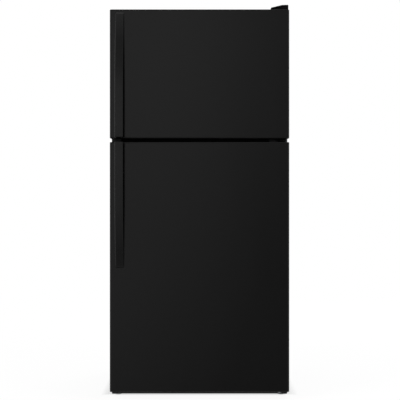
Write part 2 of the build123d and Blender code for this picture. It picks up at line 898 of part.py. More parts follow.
def fridge_door_panel():
    panel = door_panel(fridge_door)
    for level in (bottom_bin_level, gallon_bin_level, dairy_level):
        panel += lugs(fridge_door, level, lug_reach)
    panel += [middle_lug(gallon_bin_level), middle_lug(dairy_level)]
    half = fridge_dike_half - dike_width
    rail_y = (door_back + slide_rail_back, door_back + slide_rail_back + slide_rail_depth)
    return panel + block(both(half), rail_y, (slide_rail_level, slide_rail_level + slide_rail_height))


def freezer_door_panel():
    panel = door_panel(freezer_door)
    for level in (freezer_low_bin, freezer_high_bin):
        panel += lugs(freezer_door, level, freezer_lug_reach)
    return panel


def door_gasket(door):
    z = (door["bottom"] + gasket_end_inset, door["top"] - gasket_end_inset)
    half = half_door - gasket_side_inset
    base = frame_block(half, z, gasket_width, (door_back, door_back + gasket_base), gasket_corner)
    inset = (gasket_width - gasket_bulb) / 2
    bulb_y = (door_back + gasket_base, cabinet_front - fit_gap)
    bulb = frame_block(half - inset, (z[0] + inset, z[1] - inset), gasket_bulb, bulb_y, gasket_corner - inset)
    return base + bulb


def fridge_handle():
    """A bow that stands off the door at the gap and runs down to a foot."""
    top = fridge_door_top - handle_end_gap

    def at(out, down):
        return (door_front - out, top - down)

    inside = handle_projection - handle_thickness
    straight = Line(at(handle_projection, 0), at(handle_projection, handle_straight))
    bow = TangentArc(at(handle_projection, handle_straight), at(handle_tip, handle_length), tangent=(0, -1))
    foot_start = handle_length - handle_foot
    foot = Polyline(at(handle_tip, handle_length), at(0, handle_length), at(0, foot_start))
    inner_bow = TangentArc(at(inside, handle_straight), at(0, foot_start), tangent=(0, -1))
    post_inside = [at(inside, handle_straight), at(inside, handle_post), at(0, handle_post)]
    post = Polyline(*post_inside, at(0, 0), at(handle_projection, 0))
    outline = make_face(Curve() + [straight, bow, foot, inner_bow, post])
    left = -half_door + handle_inset
    handle = Pos(left, 0, 0) * extrude(Plane.YZ * outline, amount=handle_width)
    post_x = (left + handle_post_width, left + handle_width + overcut)
    post_z = (top - handle_post - overcut, top + overcut)
    handle -= block(post_x, (door_front - inside, door_front + overcut), post_z)
    fronts = [face for face in handle.faces() if face.normal_at(face.center()).Y < handle_front_facing]
    long_edges = []
    for face in fronts:
        long_edges += [edge for edge in face.edges() if edge.length > handle_straight - overcut]
    return fillet(long_edges, handle_edge)


def freezer_handle():
    return mirror(fridge_handle(), about=Plane.XY.offset(split_level))


def fridge_door_bins():
    y = (door_back + fit_gap, fridge_bin_back)
    full = both(fridge_bin_half)
    left = (-fridge_bin_half, -bin_middle_gap / 2)
    right = (bin_middle_gap / 2, fridge_bin_half)
    bottom_z = (bottom_bin_level, bottom_bin_level + bottom_bin_height)
    gallon_z = (gallon_bin_level, gallon_bin_level + gallon_bin_height)
    dairy_z = (dairy_level, dairy_level + dairy_height)
    group = [tub(full, y, bottom_z, bin_wall, bin_corner)]
    group += [tub(x, y, gallon_z, bin_wall, bin_corner) for x in (left, right)]
    dairy = tub(left, y, dairy_z, bin_wall, bin_corner)
    pin_y, pin_z = dairy_axis()
    ends = (left[0] - overcut, left[1] + overcut)
    dairy -= rod((ends[0], pin_y, pin_z), (ends[1], pin_y, pin_z), dairy_pin_radius + running_gap)
    group += [dairy, tub(right, y, dairy_z, bin_wall, bin_corner)]
    return Compound(group)


def dairy_axis():
    return (door_back + dairy_pin_back, dairy_level + dairy_height - dairy_pin_down)


def dairy_lid():
    """The lid of the dairy bin, on two pins, narrowed behind them to turn between the bin's walls."""
    pin_y, pin_z = dairy_axis()
    rim = dairy_level + dairy_height + fit_gap
    left = -fridge_bin_half
    right = -bin_middle_gap / 2
    inside = (left + bin_wall + fit_gap, right - bin_wall - fit_gap)
    front = fridge_bin_back + fit_gap + dairy_lid_sheet
    turn_room = pin_y + dairy_pin_down + dairy_lid_sheet
    lid = block((left, right), (turn_room, front), (rim, rim + dairy_lid_sheet))
    lid += block(inside, (pin_y - dairy_pin_down, turn_room), (rim, rim + dairy_lid_sheet))
    drop_z = (rim - dairy_lid_drop, rim + dairy_lid_sheet)
    lid += block((left + bin_corner, right - bin_corner), (fridge_bin_back + fit_gap, front), drop_z)
    ear_y = (pin_y - dairy_pin_down / 2, pin_y + dairy_pin_down / 2)
    ear_z = (pin_z - dairy_pin_down / 2, rim)
    for wall_x, inward in ((inside[0], 1), (inside[1], -1)):
        lid += block(sorted((wall_x, wall_x + inward * bin_wall)), ear_y, ear_z)
        pin_end = wall_x - inward * (bin_wall + fit_gap)
        lid += rod((wall_x, pin_y, pin_z), (pin_end, pin_y, pin_z), dairy_pin_radius)
    return lid


def freezer_door_bins():
    y = (door_back + fit_gap, freezer_bin_back)
    x = both(freezer_bin_half)
    levels = (freezer_low_bin, freezer_high_bin)
    return Compound([tub(x, y, (z, z + freezer_bin_height), bin_wall, freezer_bin_corner) for z in levels])


def slide_bin():
    """The bin that hangs on the door's cross rail and slides along it."""
    rail_front = door_back + slide_rail_back
    rail_back = rail_front + slide_rail_depth
    rail_top = slide_rail_level + slide_rail_height
    x = both(slide_bin_width / 2)
    top = rail_top + fit_gap + slide_hook
    body_y = (rail_back + fit_gap, fridge_bin_back)
    body = tub(x, body_y, (top - slide_bin_height, top), bin_wall, bin_corner)
    hook_y = (rail_front - fit_gap - slide_hook, rail_back + fit_gap + bin_wall)
    body += block(x, hook_y, (rail_top + fit_gap, top))
    drop_y = (hook_y[0], hook_y[0] + slide_hook)
    return body + block(x, drop_y, (slide_rail_level + slide_rail_height / 3, top))


# Shelves and crispers
def glass_shelf(level, y):
    """A glass pane let into a moulded rim; returns the rim and the pane."""
    z = (level, level + shelf_rim_height)
    rim = block(both(shelf_half), y, z)
    rim = fillet(rim.edges().filter_by(Axis.Z).group_by(Axis.Y)[0], shelf_rim / 2)
    hole_y = (y[0] + shelf_rim, y[1] - shelf_rim)
    rim -= block(both(shelf_half - shelf_rim), hole_y, (z[0] - overcut, z[1] + overcut))
    pane_half = shelf_half - shelf_rim + glass_bearing
    pane_y = (hole_y[0] - glass_bearing, hole_y[1] + glass_bearing)
    pane_z = (z[1] - glass_thickness, z[1])
    recess_y = (pane_y[0] - fit_gap, pane_y[1] + fit_gap)
    rim -= block(both(pane_half + fit_gap), recess_y, (pane_z[0], z[1] + overcut))
    return rim, block(both(pane_half), pane_y, pane_z)


def fridge_shelves():
    return [glass_shelf(level, (shelf_front, shelf_rear)) for level in shelf_levels]


def crisper_cover():
    return glass_shelf(crisper_cover_level, (shelf_front, hump_face - crisper_rear_gap))


def shelf_frames():
    return Compound([shelf[0] for shelf in fridge_shelves()])


def shelf_glass():
    return Compound([shelf[1] for shelf in fridge_shelves()] + [crisper_cover()[1]])


def crisper_frame():
    """The rim of the crisper cover with the centre runner that hangs under it."""
    y = (crisper_front + crisper_front_sheet + fit_gap, hump_face - crisper_rear_gap)
    half = crisper_web / 2
    under = crisper_cover_level
    web = block(both(half), y, (crisper_rail_level - ledge_height, under))
    runner_z = (crisper_rail_level - ledge_height, crisper_rail_level)
    bridge_z = (under, under + shelf_rim_height - glass_thickness)
    bridge = block(both(half + ledge_reach), y, bridge_z)
    return crisper_cover()[0] + [web, block(both(half + ledge_reach), y, runner_z), bridge]


def crisper_x(side):
    """The tub's inner and outer sides, between the runners."""
    near = crisper_web / 2 + ledge_reach + fit_gap
    far = fridge_half - ledge_reach - fit_gap
    return sorted((side * near, side * far))


def crisper(side):
    x = crisper_x(side)
    low = fridge_floor + crisper_bottom_gap
    body_y = (crisper_front + crisper_front_sheet / 2, crisper_rear)
    body = block(x, body_y, (low, crisper_top))
    body = fillet(body.edges().filter_by(Axis.Z).group_by(Axis.Y)[-1], crisper_corner)
    rim_x = (x[0] - crisper_rim_reach + 2 * fit_gap, x[1] + crisper_rim_reach - 2 * fit_gap)
    rim_y = (crisper_front + crisper_front_sheet, crisper_rear - crisper_corner)
    body += block(rim_x, rim_y, (crisper_rail_level + fit_gap, crisper_top))
    front_y = (crisper_front, crisper_front + crisper_front_sheet)
    front_z = (low, crisper_top + crisper_front_rise)
    front = block((x[0] - crisper_front_lap, x[1] + crisper_front_lap), front_y, front_z)
    front = fillet(front.edges().filter_by(Axis.Y), crisper_front_corner)
    front = fillet(front.edges().group_by(Axis.Y)[0], crisper_wall)
    inner_x = (x[0] + crisper_wall, x[1] - crisper_wall)
    inner_y = (crisper_front + crisper_front_sheet, crisper_rear - crisper_wall)
    inner = block(inner_x, inner_y, (low + crisper_wall, crisper_top + overcut))
    inner = fillet(inner.edges().filter_by(Axis.Z).group_by(Axis.Y)[-1], crisper_corner - crisper_wall)
    middle = (x[0] + x[1]) / 2
    scoop_z = crisper_top - crisper_scoop_drop
    half = crisper_scoop_length / 2
    scoop_start = (middle - half, crisper_front, scoop_z)
    scoop = rod(scoop_start, (middle + half, crisper_front, scoop_z), crisper_scoop_radius)
    pocket_half = (slider_travel + slider_width) / 2 + fit_gap
    pocket_z = (slider_level() - slider_height / 2 - fit_gap, slider_level() + slider_height / 2 + fit_gap)
    pocket_y = (crisper_front - overcut, crisper_front + slider_pocket)
    pocket = block((middle - pocket_half, middle + pocket_half), pocket_y, pocket_z)
    return body + front - inner - scoop - pocket


def slider_level():
    return crisper_top + crisper_front_rise - slider_drop


def humidity_slider(side):
    x = crisper_x(side)
    middle = (x[0] + x[1]) / 2
    back = crisper_front + slider_pocket - fit_gap
    z = (slider_level() - slider_height / 2, slider_level() + slider_height / 2)
    pair = (middle - slider_width / 2, middle + slider_width / 2)
    body = block(pair, (back - slider_depth, back), z)
    return fillet(body.edges().group_by(Axis.Y)[0], slider_height / 6)


# Freezer
def freezer_shelf():
    """A wire shelf: four frame rods with cross wires laid on them."""
    half = freezer_half - wire_side_gap - wire_frame_radius
    y = (cabinet_front + wire_shelf_setback + wire_frame_radius, evaporator_cover_front - liner_corner)
    z = wire_shelf_level
    corners = [(-half, y[0], z), (half, y[0], z), (half, y[1], z), (-half, y[1], z)]
    frame = rod(corners[0], corners[1], wire_frame_radius)
    bars = [rod(corners[i], corners[(i + 1) % 4], wire_frame_radius) for i in (1, 2, 3)]
    bars += [Pos(*corner) * Sphere(wire_frame_radius) for corner in corners]
    count = int(2 * half // wire_pitch)
    for step in range(1, count):
        x = -half + step * 2 * half / count
        lift = z + wire_frame_radius - wire_radius / 2
        bars.append(rod((x, y[0], lift), (x, y[1], lift), wire_radius))
    return frame + bars


def fan_holes(place):
    """The opening in a wall for a fan, in the wall's own frame."""
    return place * Cylinder(fan_radius + fan_tip_gap, 4 * overcut)


def fan_bracket(place):
    """Two posts and a strap that carry a motor behind a fan opening."""
    reach = fan_radius + fan_tip_gap + fan_post_radius
    low = fan_stand_off
    high = low + fan_bracket_sheet
    strap = block(both(reach + fan_post_radius), both(fan_bracket_width / 2), (low, high))
    posts = [rod((side * reach, 0, 0), (side * reach, 0, low), fan_post_radius) for side in (-1, 1)]
    hole = rod((0, 0, low - overcut), (0, 0, high + overcut), fan_shaft_hole)
    return place * (strap + posts - hole)


def fan_motor(place):
    low = fan_stand_off + fan_bracket_sheet
    body = rod((0, 0, low), (0, 0, low + fan_motor_length), fan_motor_radius)
    body = fillet(body.edges(), fan_shaft_radius)
    return place * (body + rod((0, 0, fan_hub_gap), (0, 0, low), fan_shaft_radius))


def fan_wheel(place):
    """A hub with pitched blades on the motor shaft."""
    hub = rod((0, 0, fan_hub_gap), (0, 0, fan_hub_gap + fan_hub_length), fan_hub_radius)
    middle = fan_hub_gap + fan_hub_length / 2
    length = fan_radius - fan_hub_radius / 2
    blade = Box(length, fan_blade_width, fan_blade_sheet)
    blade = Pos(fan_hub_radius / 2 + length / 2, 0, middle) * Rot(fan_blade_pitch, 0, 0) * blade
    tips = rod((0, 0, 0), (0, 0, fan_stand_off), fan_radius)
    wheel = hub + [Rot(0, 0, i * 360 / fan_blades) * blade & tips for i in range(fan_blades)]
    shaft = rod((0, 0, 0), (0, 0, fan_stand_off), fan_shaft_radius + running_gap)
    return place * (wheel - shaft)


evaporator_fan_place = Pos(0, evaporator_cover_back, evaporator_fan_level) * Rot(-90, 0, 0)
condenser_fan_place = Pos(shroud_x + shroud_sheet, bay_middle, condenser_fan_level) * Rot(0, 90, 0)


def evaporator_cover():
    """The back wall of the freezer space, with vents and the fan's opening."""
    z = (freezer_floor + fit_gap, freezer_ceiling - fit_gap)
    y = (evaporator_cover_front, evaporator_cover_back)
    sheet = block(both(freezer_half - fit_gap), y, z)
    sheet = fillet(sheet.edges().filter_by(Axis.Y), liner_corner)
    through = (y[0] - overcut, y[1] + overcut)
    vent = (vent_slot_columns, vent_slot_rows, vent_slot_pitch_x, vent_slot_pitch_z)
    size = (vent_slot_length, vent_slot_height)
    sheet -= slots(*vent, *size, through, 0, freezer_floor + liner_corner)
    rows = 2 * int(fan_radius // vent_slot_pitch_z) + 1
    low = evaporator_fan_level - rows // 2 * vent_slot_pitch_z - vent_slot_height / 2
    sheet -= slots(2, rows, vent_slot_pitch_x, vent_slot_pitch_z, *size, through, 0, low)
    return sheet + fan_bracket(evaporator_fan_place)


def evaporator_y():
    back = freezer_rear - fit_gap
    return (back - evaporator_depth, back)


def evaporator_coil():
    """A fin pack on level tubes, standing on two end plates."""
    y = evaporator_y()
    half = evaporator_width / 2
    low = freezer_floor + evaporator_rise
    z = (low, low + evaporator_height)
    count = int(evaporator_width // evaporator_fin_pitch)
    fins = []
    for step in range(1, count):
        x = -half + step * evaporator_width / count
        fins.append(block((x, x + evaporator_fin_sheet), y, z))
    plate_z = (freezer_floor + liner_corner, z[1])
    foot_y = (y[0], y[1] - liner_corner)
    foot_z = (freezer_floor, plate_z[0])
    left = (-half, -half + evaporator_sheet)
    right = (half - evaporator_sheet, half)
    coil = block(left, y, plate_z)
    parts = [block(right, y, plate_z), block(left, foot_y, foot_z), block(right, foot_y, foot_z)] + fins
    pitch = evaporator_height / evaporator_tube_rows
    middle = (y[0] + y[1]) / 2
    for row in range(evaporator_tube_rows):
        level = low + (row + 0.5) * pitch
        for side in (-1, 1):
            place = middle + side * evaporator_depth / 4
            parts.append(rod((-half, place, level), (half, place, level), evaporator_tube_radius))
    coil = coil + parts
    return coil - heater_path(heater_radius + fit_gap)


def heater_path(radius):
    y = evaporator_y()
    middle = (y[0] + y[1]) / 2
    level = freezer_floor + evaporator_rise - heater_drop
    reach = evaporator_width / 2 + heater_drop
    return rod((-reach, middle, level), (reach, middle, level), radius)


def defrost_heater():
    return heater_path(heater_radius)


# Machine bay
def grommet_spots():
    spots = []
    for side_x in (-1, 1):
        for side_y in (-1, 1):
            spots.append((compressor_x + side_x * compressor_foot_x, bay_middle + side_y * compressor_foot_y))
    return spots


def compressor():
    """A domed oval shell on a foot plate, with its relay cover on one end."""
    low = plate_top + grommet_height + compressor_foot_sheet
    oval = Ellipse(compressor_half_length, compressor_half_width)
    shell = Pos(compressor_x, bay_middle, low) * extrude(oval, amount=compressor_height)
    shell = fillet(shell.edges().group_by(Axis.Z)[-1], compressor_dome)
    reach_x = compressor_foot_x + compressor_foot_margin
    reach_y = compressor_foot_y + compressor_foot_margin
    x = (compressor_x - reach_x, compressor_x + reach_x)
    y = (bay_middle - reach_y, bay_middle + reach_y)
    foot = block(x, y, (low - compressor_foot_sheet, low))
    foot = fillet(foot.edges().filter_by(Axis.Z), compressor_foot_margin)
    relay_end = compressor_x - compressor_half_length
    relay_x = (relay_end - relay_depth, relay_end + relay_depth)
    relay_y = (bay_middle - relay_width / 2, bay_middle + relay_width / 2)
    relay = block(relay_x, relay_y, (low + relay_rise, low + relay_rise + relay_height))
    stubs = []
    for side in (-1, 1):
        end = line_stub(side)
        start = (end[0] - line_stub_reach - compressor_dome, end[1], end[2])
        stubs.append(rod(start, end, line_stub_radius))
    return shell + [foot, fillet(relay.edges().filter_by(Axis.X), relay_depth / 4)] + stubs


def compressor_grommets():
    group = []
    for x, y in grommet_spots():
        body = rod((x, y, plate_top), (x, y, plate_top + grommet_height), grommet_radius)
        group.append(fillet(body.edges(), grommet_radius / 5))
    return Compound(group)


def line_stub(side):
    """The flat end of a tube stub on the compressor's shell."""
    level = plate_top + grommet_height + compressor_foot_sheet + line_stub_rise
    x = compressor_x + compressor_half_length + line_stub_reach
    return (x, bay_middle + side * line_stub_offset, level)


def discharge_lead(first, low):
    """From the compressor, round the fan wall on the cabinet side, to the coil."""
    x, y, z = line_stub(1)
    turn = x + line_lead
    side = bay_front + base_sheet + line_wall_gap
    end = coil_start - line_lead
    lead = [(x, y, z), (turn, y, z), (turn, side, z), (end, side, z), (end, side, low)]
    return lead + [(end, first, low)]


def coil_points():
    """The compressor's line, then a serpentine that climbs and falls through the layers."""
    low = plate_top + coil_rise
    first = bay_middle - (coil_layers - 1) / 2 * coil_pitch_y
    points = discharge_lead(first, low)
    ends = [coil_start, coil_end]
    for layer in range(coil_layers):
        rows = range(coil_rows) if layer % 2 == 0 else reversed(range(coil_rows))
        for row in rows:
            for x in ends:
                points.append((x, first + layer * coil_pitch_y, low + row * coil_pitch_z))
            ends.reverse()
    start = len(discharge_lead(first, low))
    points.pop(start)
    x, y, z = points[-1]
    outward = -1 if x == coil_start else 1
    points[-1] = (x + outward * line_lead, y, z)
    return points + [(x + outward * line_lead, y, bay_top)]


def suction_line():
    x, y, z = line_stub(-1)
    turn = x + line_lead / 2
    return tube([(x, y, z), (turn, y, z), (turn, y, bay_top)], coil_tube_radius, coil_bend)


def coil_bracket(x):
    """A sheet stand with a hole for each run of the tube."""
    low = plate_top + coil_rise
    first = bay_middle - (coil_layers - 1) / 2 * coil_pitch_y
    y = (first - coil_bracket_margin, first + (coil_layers - 1) * coil_pitch_y + coil_bracket_margin)
    z = (plate_top, low + (coil_rows - 1) * coil_pitch_z + coil_bracket_margin)
    sheet = block((x, x + coil_bracket_sheet), y, z)
    holes = []
    for layer in range(coil_layers):
        for row in range(coil_rows):
            at = (first + layer * coil_pitch_y, low + row * coil_pitch_z)
            end = (x + coil_bracket_sheet + overcut, *at)
            holes.append(rod((x - overcut, *at), end, coil_tube_radius + fit_gap))
    return sheet - holes


def condenser_coil():
    coil = tube(coil_points(), coil_tube_radius, coil_bend)
    left = coil_bracket(coil_start + coil_bracket_inset)
    right = coil_bracket(coil_end - coil_bracket_inset - coil_bracket_sheet)
    return Compound([coil, suction_line(), left, right])


def fan_shroud():
    """The wall that carries the condenser fan between compressor and coil."""
    y = (bay_front + base_sheet + shroud_side_gap, bay_cover_front - shroud_side_gap)
    z = (plate_top, bay_top - shroud_top_gap)
    wall = block((shroud_x, shroud_x + shroud_sheet), y, z)
    return wall - fan_holes(condenser_fan_place) + fan_bracket(condenser_fan_place)


def fan_motors():
    return Compound([fan_motor(evaporator_fan_place), fan_motor(condenser_fan_place)])


def drain_pan():
    """The shallow tray between the coil's stands."""
    stand = coil_bracket_inset + coil_bracket_sheet + pan_side_gap
    x = (coil_start + stand, coil_end - stand)
    y = (bay_front + base_sheet + pan_side_gap, bay_cover_front - pan_side_gap)
    outer = block(x, y, (plate_top, plate_top + pan_height))
    inner_z = (plate_top + pan_wall, plate_top + pan_height + overcut)
    return outer - block((x[0] + pan_wall, x[1] - pan_wall), (y[0] + pan_wall, y[1] - pan_wall), inner_z)


def compressor_cover():
    """The vented back of the machine bay."""
    z = (plate_level, bay_top - fit_gap)
    sheet = block(both(half_inside - fit_gap), (bay_cover_front, bay_cover_back), z)
    through = (bay_cover_front - overcut, bay_cover_back + overcut)
    low = (plate_top + bay_top - (bay_slot_rows - 1) * bay_slot_pitch_z) / 2
    grid = (bay_slot_columns, bay_slot_rows, bay_slot_pitch_x, bay_slot_pitch_z)
    sheet -= slots(*grid, bay_slot_length, bay_slot_height, through, 0, low)
    for seat in bay_cover_seats():
        sheet -= screw_hole(seat, (0, 1, 0), bay_cover_sheet)
    hole_y = (bay_cover_front - overcut, bay_cover_back + overcut)
    start = (gland_x, hole_y[0], gland_level)
    return sheet - rod(start, (gland_x, hole_y[1], gland_level), gland_radius + running_gap)


def cord_gland():
    """The bush that the mains lead leaves through."""
    y = (bay_cover_front - gland_flange_height, bay_cover_back + gland_flange_height)
    body = rod((gland_x, y[0], gland_level), (gland_x, y[1], gland_level), gland_radius)
    flange = rod((gland_x, bay_cover_back, gland_level), (gland_x, y[1], gland_level), gland_flange_radius)
    start = (gland_x, y[0] - overcut, gland_level)
    return body + flange - rod(start, (gland_x, y[1] + overcut, gland_level), gland_bore_radius)


# Control box, light and switch
def control_box():
    """The box under the fridge ceiling, chamfered along its lower front."""
    outline = [(control_front, fridge_ceiling), (control_front, control_bottom + control_chamfer)]
    outline += [(control_front + control_chamfer, control_bottom), (control_rear, control_bottom)]
    outline += [(control_rear, fridge_ceiling)]
    box = prism_x(outline, both(control_half_width))
    wall = control_wall
    low = control_bottom + wall
    front = control_front + wall
    inner = [(front, fridge_ceiling + overcut), (front, low + control_chamfer - wall / 2)]
    inner += [(front + control_chamfer - wall / 2, low), (control_rear - wall, low)]
    inner += [(control_rear - wall, fridge_ceiling + overcut)]
    box -= prism_x(inner, both(control_half_width - wall))
    x, y = lens_window()
    box -= block(x, y, (control_bottom - overcut, low + overcut))
    for side in (-1, 1):
        start = (side * knob_offset, control_front - overcut, knob_level)
        end = (side * knob_offset, control_front + overcut, knob_level)
        box -= rod(start, end, knob_shaft_radius + running_gap)
    return box


def lens_window():
    x = both(control_half_width - lens_margin)
    return x, (control_front + lens_margin, control_rear - lens_margin)


def light_lens():
    """The clear cover of the lamp, dropped into the box from above."""
    x, y = lens_window()
    low = control_bottom + control_wall
    plate_y = (y[0] + fit_gap, y[1] - fit_gap)
    plate = block((x[0] + fit_gap, x[1] - fit_gap), plate_y, (control_bottom, low))
    flange_y = (y[0] - lens_flange, y[1] + lens_flange)
    return plate + block((x[0] - lens_flange, x[1] + lens_flange), flange_y, (low, low + lens_sheet))


def switch_box():
    x = (switch_offset - switch_width / 2, switch_offset + switch_width / 2)
    front = switch_tip + switch_gap
    body = block(x, (front, front + switch_length), (fridge_ceiling - switch_height, fridge_ceiling))
    bore = switch_button_radius + running_gap
    start = (switch_offset, front - overcut, switch_level)
    end = (switch_offset, switch_tip + switch_button_length + switch_gap, switch_level)
    return body - rod(start, end, bore)


def control_housing():
    return Compound([control_box(), switch_box()])


def light_switch_button():
    end = (switch_offset, switch_tip + switch_button_length, switch_level)
    return rod((switch_offset, switch_tip, switch_level), end, switch_button_radius)


def control_knob(side):
    x = side * knob_offset
    back = control_front - fit_gap
    front = back - knob_length + knob_grip_height
    disc = rod((x, back, knob_level), (x, front, knob_level), knob_radius)
    disc = fillet(disc.edges().group_by(Axis.Y)[0], knob_grip_height / 5)
    half = knob_grip_width / 2
    grip_z = (knob_level - knob_radius, knob_level + knob_radius)
    grip = block((x - half, x + half), (back - knob_length, front), grip_z)
    grip &= rod((x, back, knob_level), (x, back - knob_length, knob_level), knob_radius - fit_gap)
    shaft = rod((x, back, knob_level), (x, control_front + overcut, knob_level), knob_shaft_radius)
    return disc + [grip, shaft]


def air_duct():
    """The vented riser on the fridge's back wall."""
    z = (hump_top + duct_lift, duct_top)
    y = (fridge_rear - duct_depth, fridge_rear)
    riser = block(both(duct_half_width), y, z)
    riser = fillet(riser.edges().filter_by(Axis.Z).group_by(Axis.Y)[0], duct_depth / 3)
    hollow_z = (z[0] + duct_wall, z[1] - duct_wall)
    riser -= block(both(duct_half_width - 3 * duct_wall), (y[0] + duct_wall, y[1] + overcut), hollow_z)
    low = z[0] + (z[1] - z[0] - (duct_slot_count - 1) * duct_slot_pitch) / 2
    size = (duct_slot_length, duct_slot_height)
    through = (y[0] - overcut, y[0] + duct_wall)
    return riser - slots(2, duct_slot_count, duct_half_width, duct_slot_pitch, *size, through, 0, low)


def nodes():
    """Each separate piece under the name it is known by."""
    return {
        "cabinet_shell": cabinet_shell(),
        "rear_panel": rear_panel(),
        "cabinet_foam": cabinet_foam(),
        "freezer_liner": freezer_liner(),
        "fridge_liner": fridge_liner(),
        "mullion_rail": mullion_rail(),
        "base_frame": base_frame(),
        "base_grille": base_grille(),
        "top_hinge": top_hinge(),
        "hinge_cover": hinge_cover(),
        "centre_hinge": centre_hinge(),
        "bottom_hinge": bottom_hinge(),
        "cabinet_screws": cabinet_screws(),
        "compressor": compressor(),
        "compressor_grommets": compressor_grommets(),
        "condenser_coil": condenser_coil(),
        "fan_shroud": fan_shroud(),
        "fan_motors": fan_motors(),
        "compressor_cover": compressor_cover(),
        "drain_pan": drain_pan(),
        "cord_gland": cord_gland(),
        "evaporator_coil": evaporator_coil(),
        "evaporator_cover": evaporator_cover(),
        "defrost_heater": defrost_heater(),
        "control_housing": control_housing(),
        "light_lens": light_lens(),
        "freezer_shelf": freezer_shelf(),
        "shelf_frames": shelf_frames(),
        "shelf_glass": shelf_glass(),
        "crisper_frame": crisper_frame(),
        "air_duct": air_duct(),
        "left_crisper": crisper(-1),
        "right_crisper": crisper(1),
        "left_humidity_slider": humidity_slider(-1),
        "right_humidity_slider": humidity_slider(1),
        "fridge_knob": control_knob(-1),
        "freezer_knob": control_knob(1),
        "light_switch_button": light_switch_button(),
        "evaporator_fan": fan_wheel(evaporator_fan_place),
        "condenser_fan": fan_wheel(condenser_fan_place),
        "left_roller": rear_roller(-1),
        "right_roller": rear_roller(1),
        "left_leg": levelling_leg(-1),
        "right_leg": levelling_leg(1),
        "freezer_door_skin": door_skin(freezer_door),
        "freezer_door_caps": door_caps(freezer_door),
        "freezer_door_panel": freezer_door_panel(),
        "freezer_door_foam": door_foam(freezer_door),
        "freezer_door_gasket": door_gasket(freezer_door),
        "freezer_handle": freezer_handle(),
        "freezer_door_bins": freezer_door_bins(),
        "fridge_door_skin": door_skin(fridge_door),
        "fridge_door_caps": door_caps(fridge_door),
        "fridge_door_panel": fridge_door_panel(),
        "fridge_door_foam": door_foam(fridge_door),
        "fridge_door_gasket": door_gasket(fridge_door),
        "fridge_handle": fridge_handle(),
        "fridge_door_bins": fridge_door_bins(),
        "dairy_lid": dairy_lid(),
        "slide_bin": slide_bin(),
    }


def main():
    os.makedirs("parts", exist_ok=True)
    for name, solid in nodes().items():
        export_step(solid, f"parts/{name}.step")


if __name__ == "__main__":
    main()
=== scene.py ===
import json
import math

import bmesh
import bpy
import numpy as np
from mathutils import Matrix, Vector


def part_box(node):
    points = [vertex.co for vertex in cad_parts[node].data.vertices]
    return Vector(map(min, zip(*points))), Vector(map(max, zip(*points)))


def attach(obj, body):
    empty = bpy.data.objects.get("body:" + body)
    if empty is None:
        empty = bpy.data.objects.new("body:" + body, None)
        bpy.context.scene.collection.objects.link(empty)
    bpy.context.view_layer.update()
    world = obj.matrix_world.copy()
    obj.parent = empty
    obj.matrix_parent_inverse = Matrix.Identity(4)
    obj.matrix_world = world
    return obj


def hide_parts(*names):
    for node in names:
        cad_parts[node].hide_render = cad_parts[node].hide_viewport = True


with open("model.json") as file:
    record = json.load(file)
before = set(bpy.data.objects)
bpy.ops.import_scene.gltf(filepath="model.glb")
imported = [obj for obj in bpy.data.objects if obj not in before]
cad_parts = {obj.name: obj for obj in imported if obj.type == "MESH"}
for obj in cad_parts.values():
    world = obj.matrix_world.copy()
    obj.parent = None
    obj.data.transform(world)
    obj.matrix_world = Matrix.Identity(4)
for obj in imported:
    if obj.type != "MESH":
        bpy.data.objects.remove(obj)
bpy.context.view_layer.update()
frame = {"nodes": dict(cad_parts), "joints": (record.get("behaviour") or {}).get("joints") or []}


# shapes: every surface is a grid of points, joined into quads
def corners(node):
    low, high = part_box(node)
    return np.array(low), np.array(high)


def fullTurn(sides):
    # a full circle's angles in even steps, the last one short of the first
    return np.linspace(0, 2 * np.pi, sides, endpoint=False)


def quarter(steps):
    # a quarter turn in even steps: one less its sine, which drops, and one less its cosine, which climbs
    turn = np.linspace(0, np.pi / 2, steps)
    return 1 - np.sin(turn), 1 - np.cos(turn)


def chain(*lines):
    # rows of numbers end to end
    return np.concatenate(lines)


def rounded(span, edge, steps):
    # quarter rounds at both ends of a span: how far each ring is drawn in, and where it lies
    drop, climb = quarter(steps)
    return edge * chain(drop, drop[::-1]), chain(span[0] + edge * climb, span[1] - edge * climb[::-1])


def surface(points, closed=False, tube=True):
    # points[u, v] is the surface, and neighbours make quads; a tube closes on itself in v, and in u it does
    # so too or gets one flat face over each end
    rows, cols = points.shape[:2]
    index = np.arange(rows * cols).reshape(rows, cols)
    caps = [index[0], index[-1]] if tube and not closed else []
    if closed:
        index = np.vstack((index, index[:1]))
    if tube:
        index = np.hstack((index, index[:, :1]))
    quads = np.stack((index[:-1, :-1], index[:-1, 1:], index[1:, 1:], index[1:, :-1]), axis=-1)
    return points.reshape(-1, 3), quads.reshape(-1, 4), caps


def place(a, b, depth, facing):
    # two coordinates in the ring's own plane and one along the way it faces
    depth = np.broadcast_to(depth, a.shape)
    order = {"x": (depth, a, b), "y": (a, depth, b), "z": (a, b, depth)}[facing]
    return np.stack(order, axis=-1)


def roundRing(halfA, halfB, radius, steps):
    # rectangles with an arc at each corner, one ring for each row; a row of four radii
    # goes round the corners (+,+), (-,+), (-,-), (+,-)
    halfA = np.asarray(halfA, float)[:, None, None]
    halfB = np.asarray(halfB, float)[:, None, None]
    radius = np.asarray(radius, float).reshape(len(halfA), -1)[:, :, None]
    turn = np.arange(4)[:, None] * np.pi / 2 + np.linspace(0, np.pi / 2, steps)
    signA = np.array([1, -1, -1, 1])[:, None]
    signB = np.array([1, 1, -1, -1])[:, None]
    a = signA * (halfA - radius) + radius * np.cos(turn)
    b = signB * (halfB - radius) + radius * np.sin(turn)
    return a.reshape(len(halfA), -1), b.reshape(len(halfA), -1)


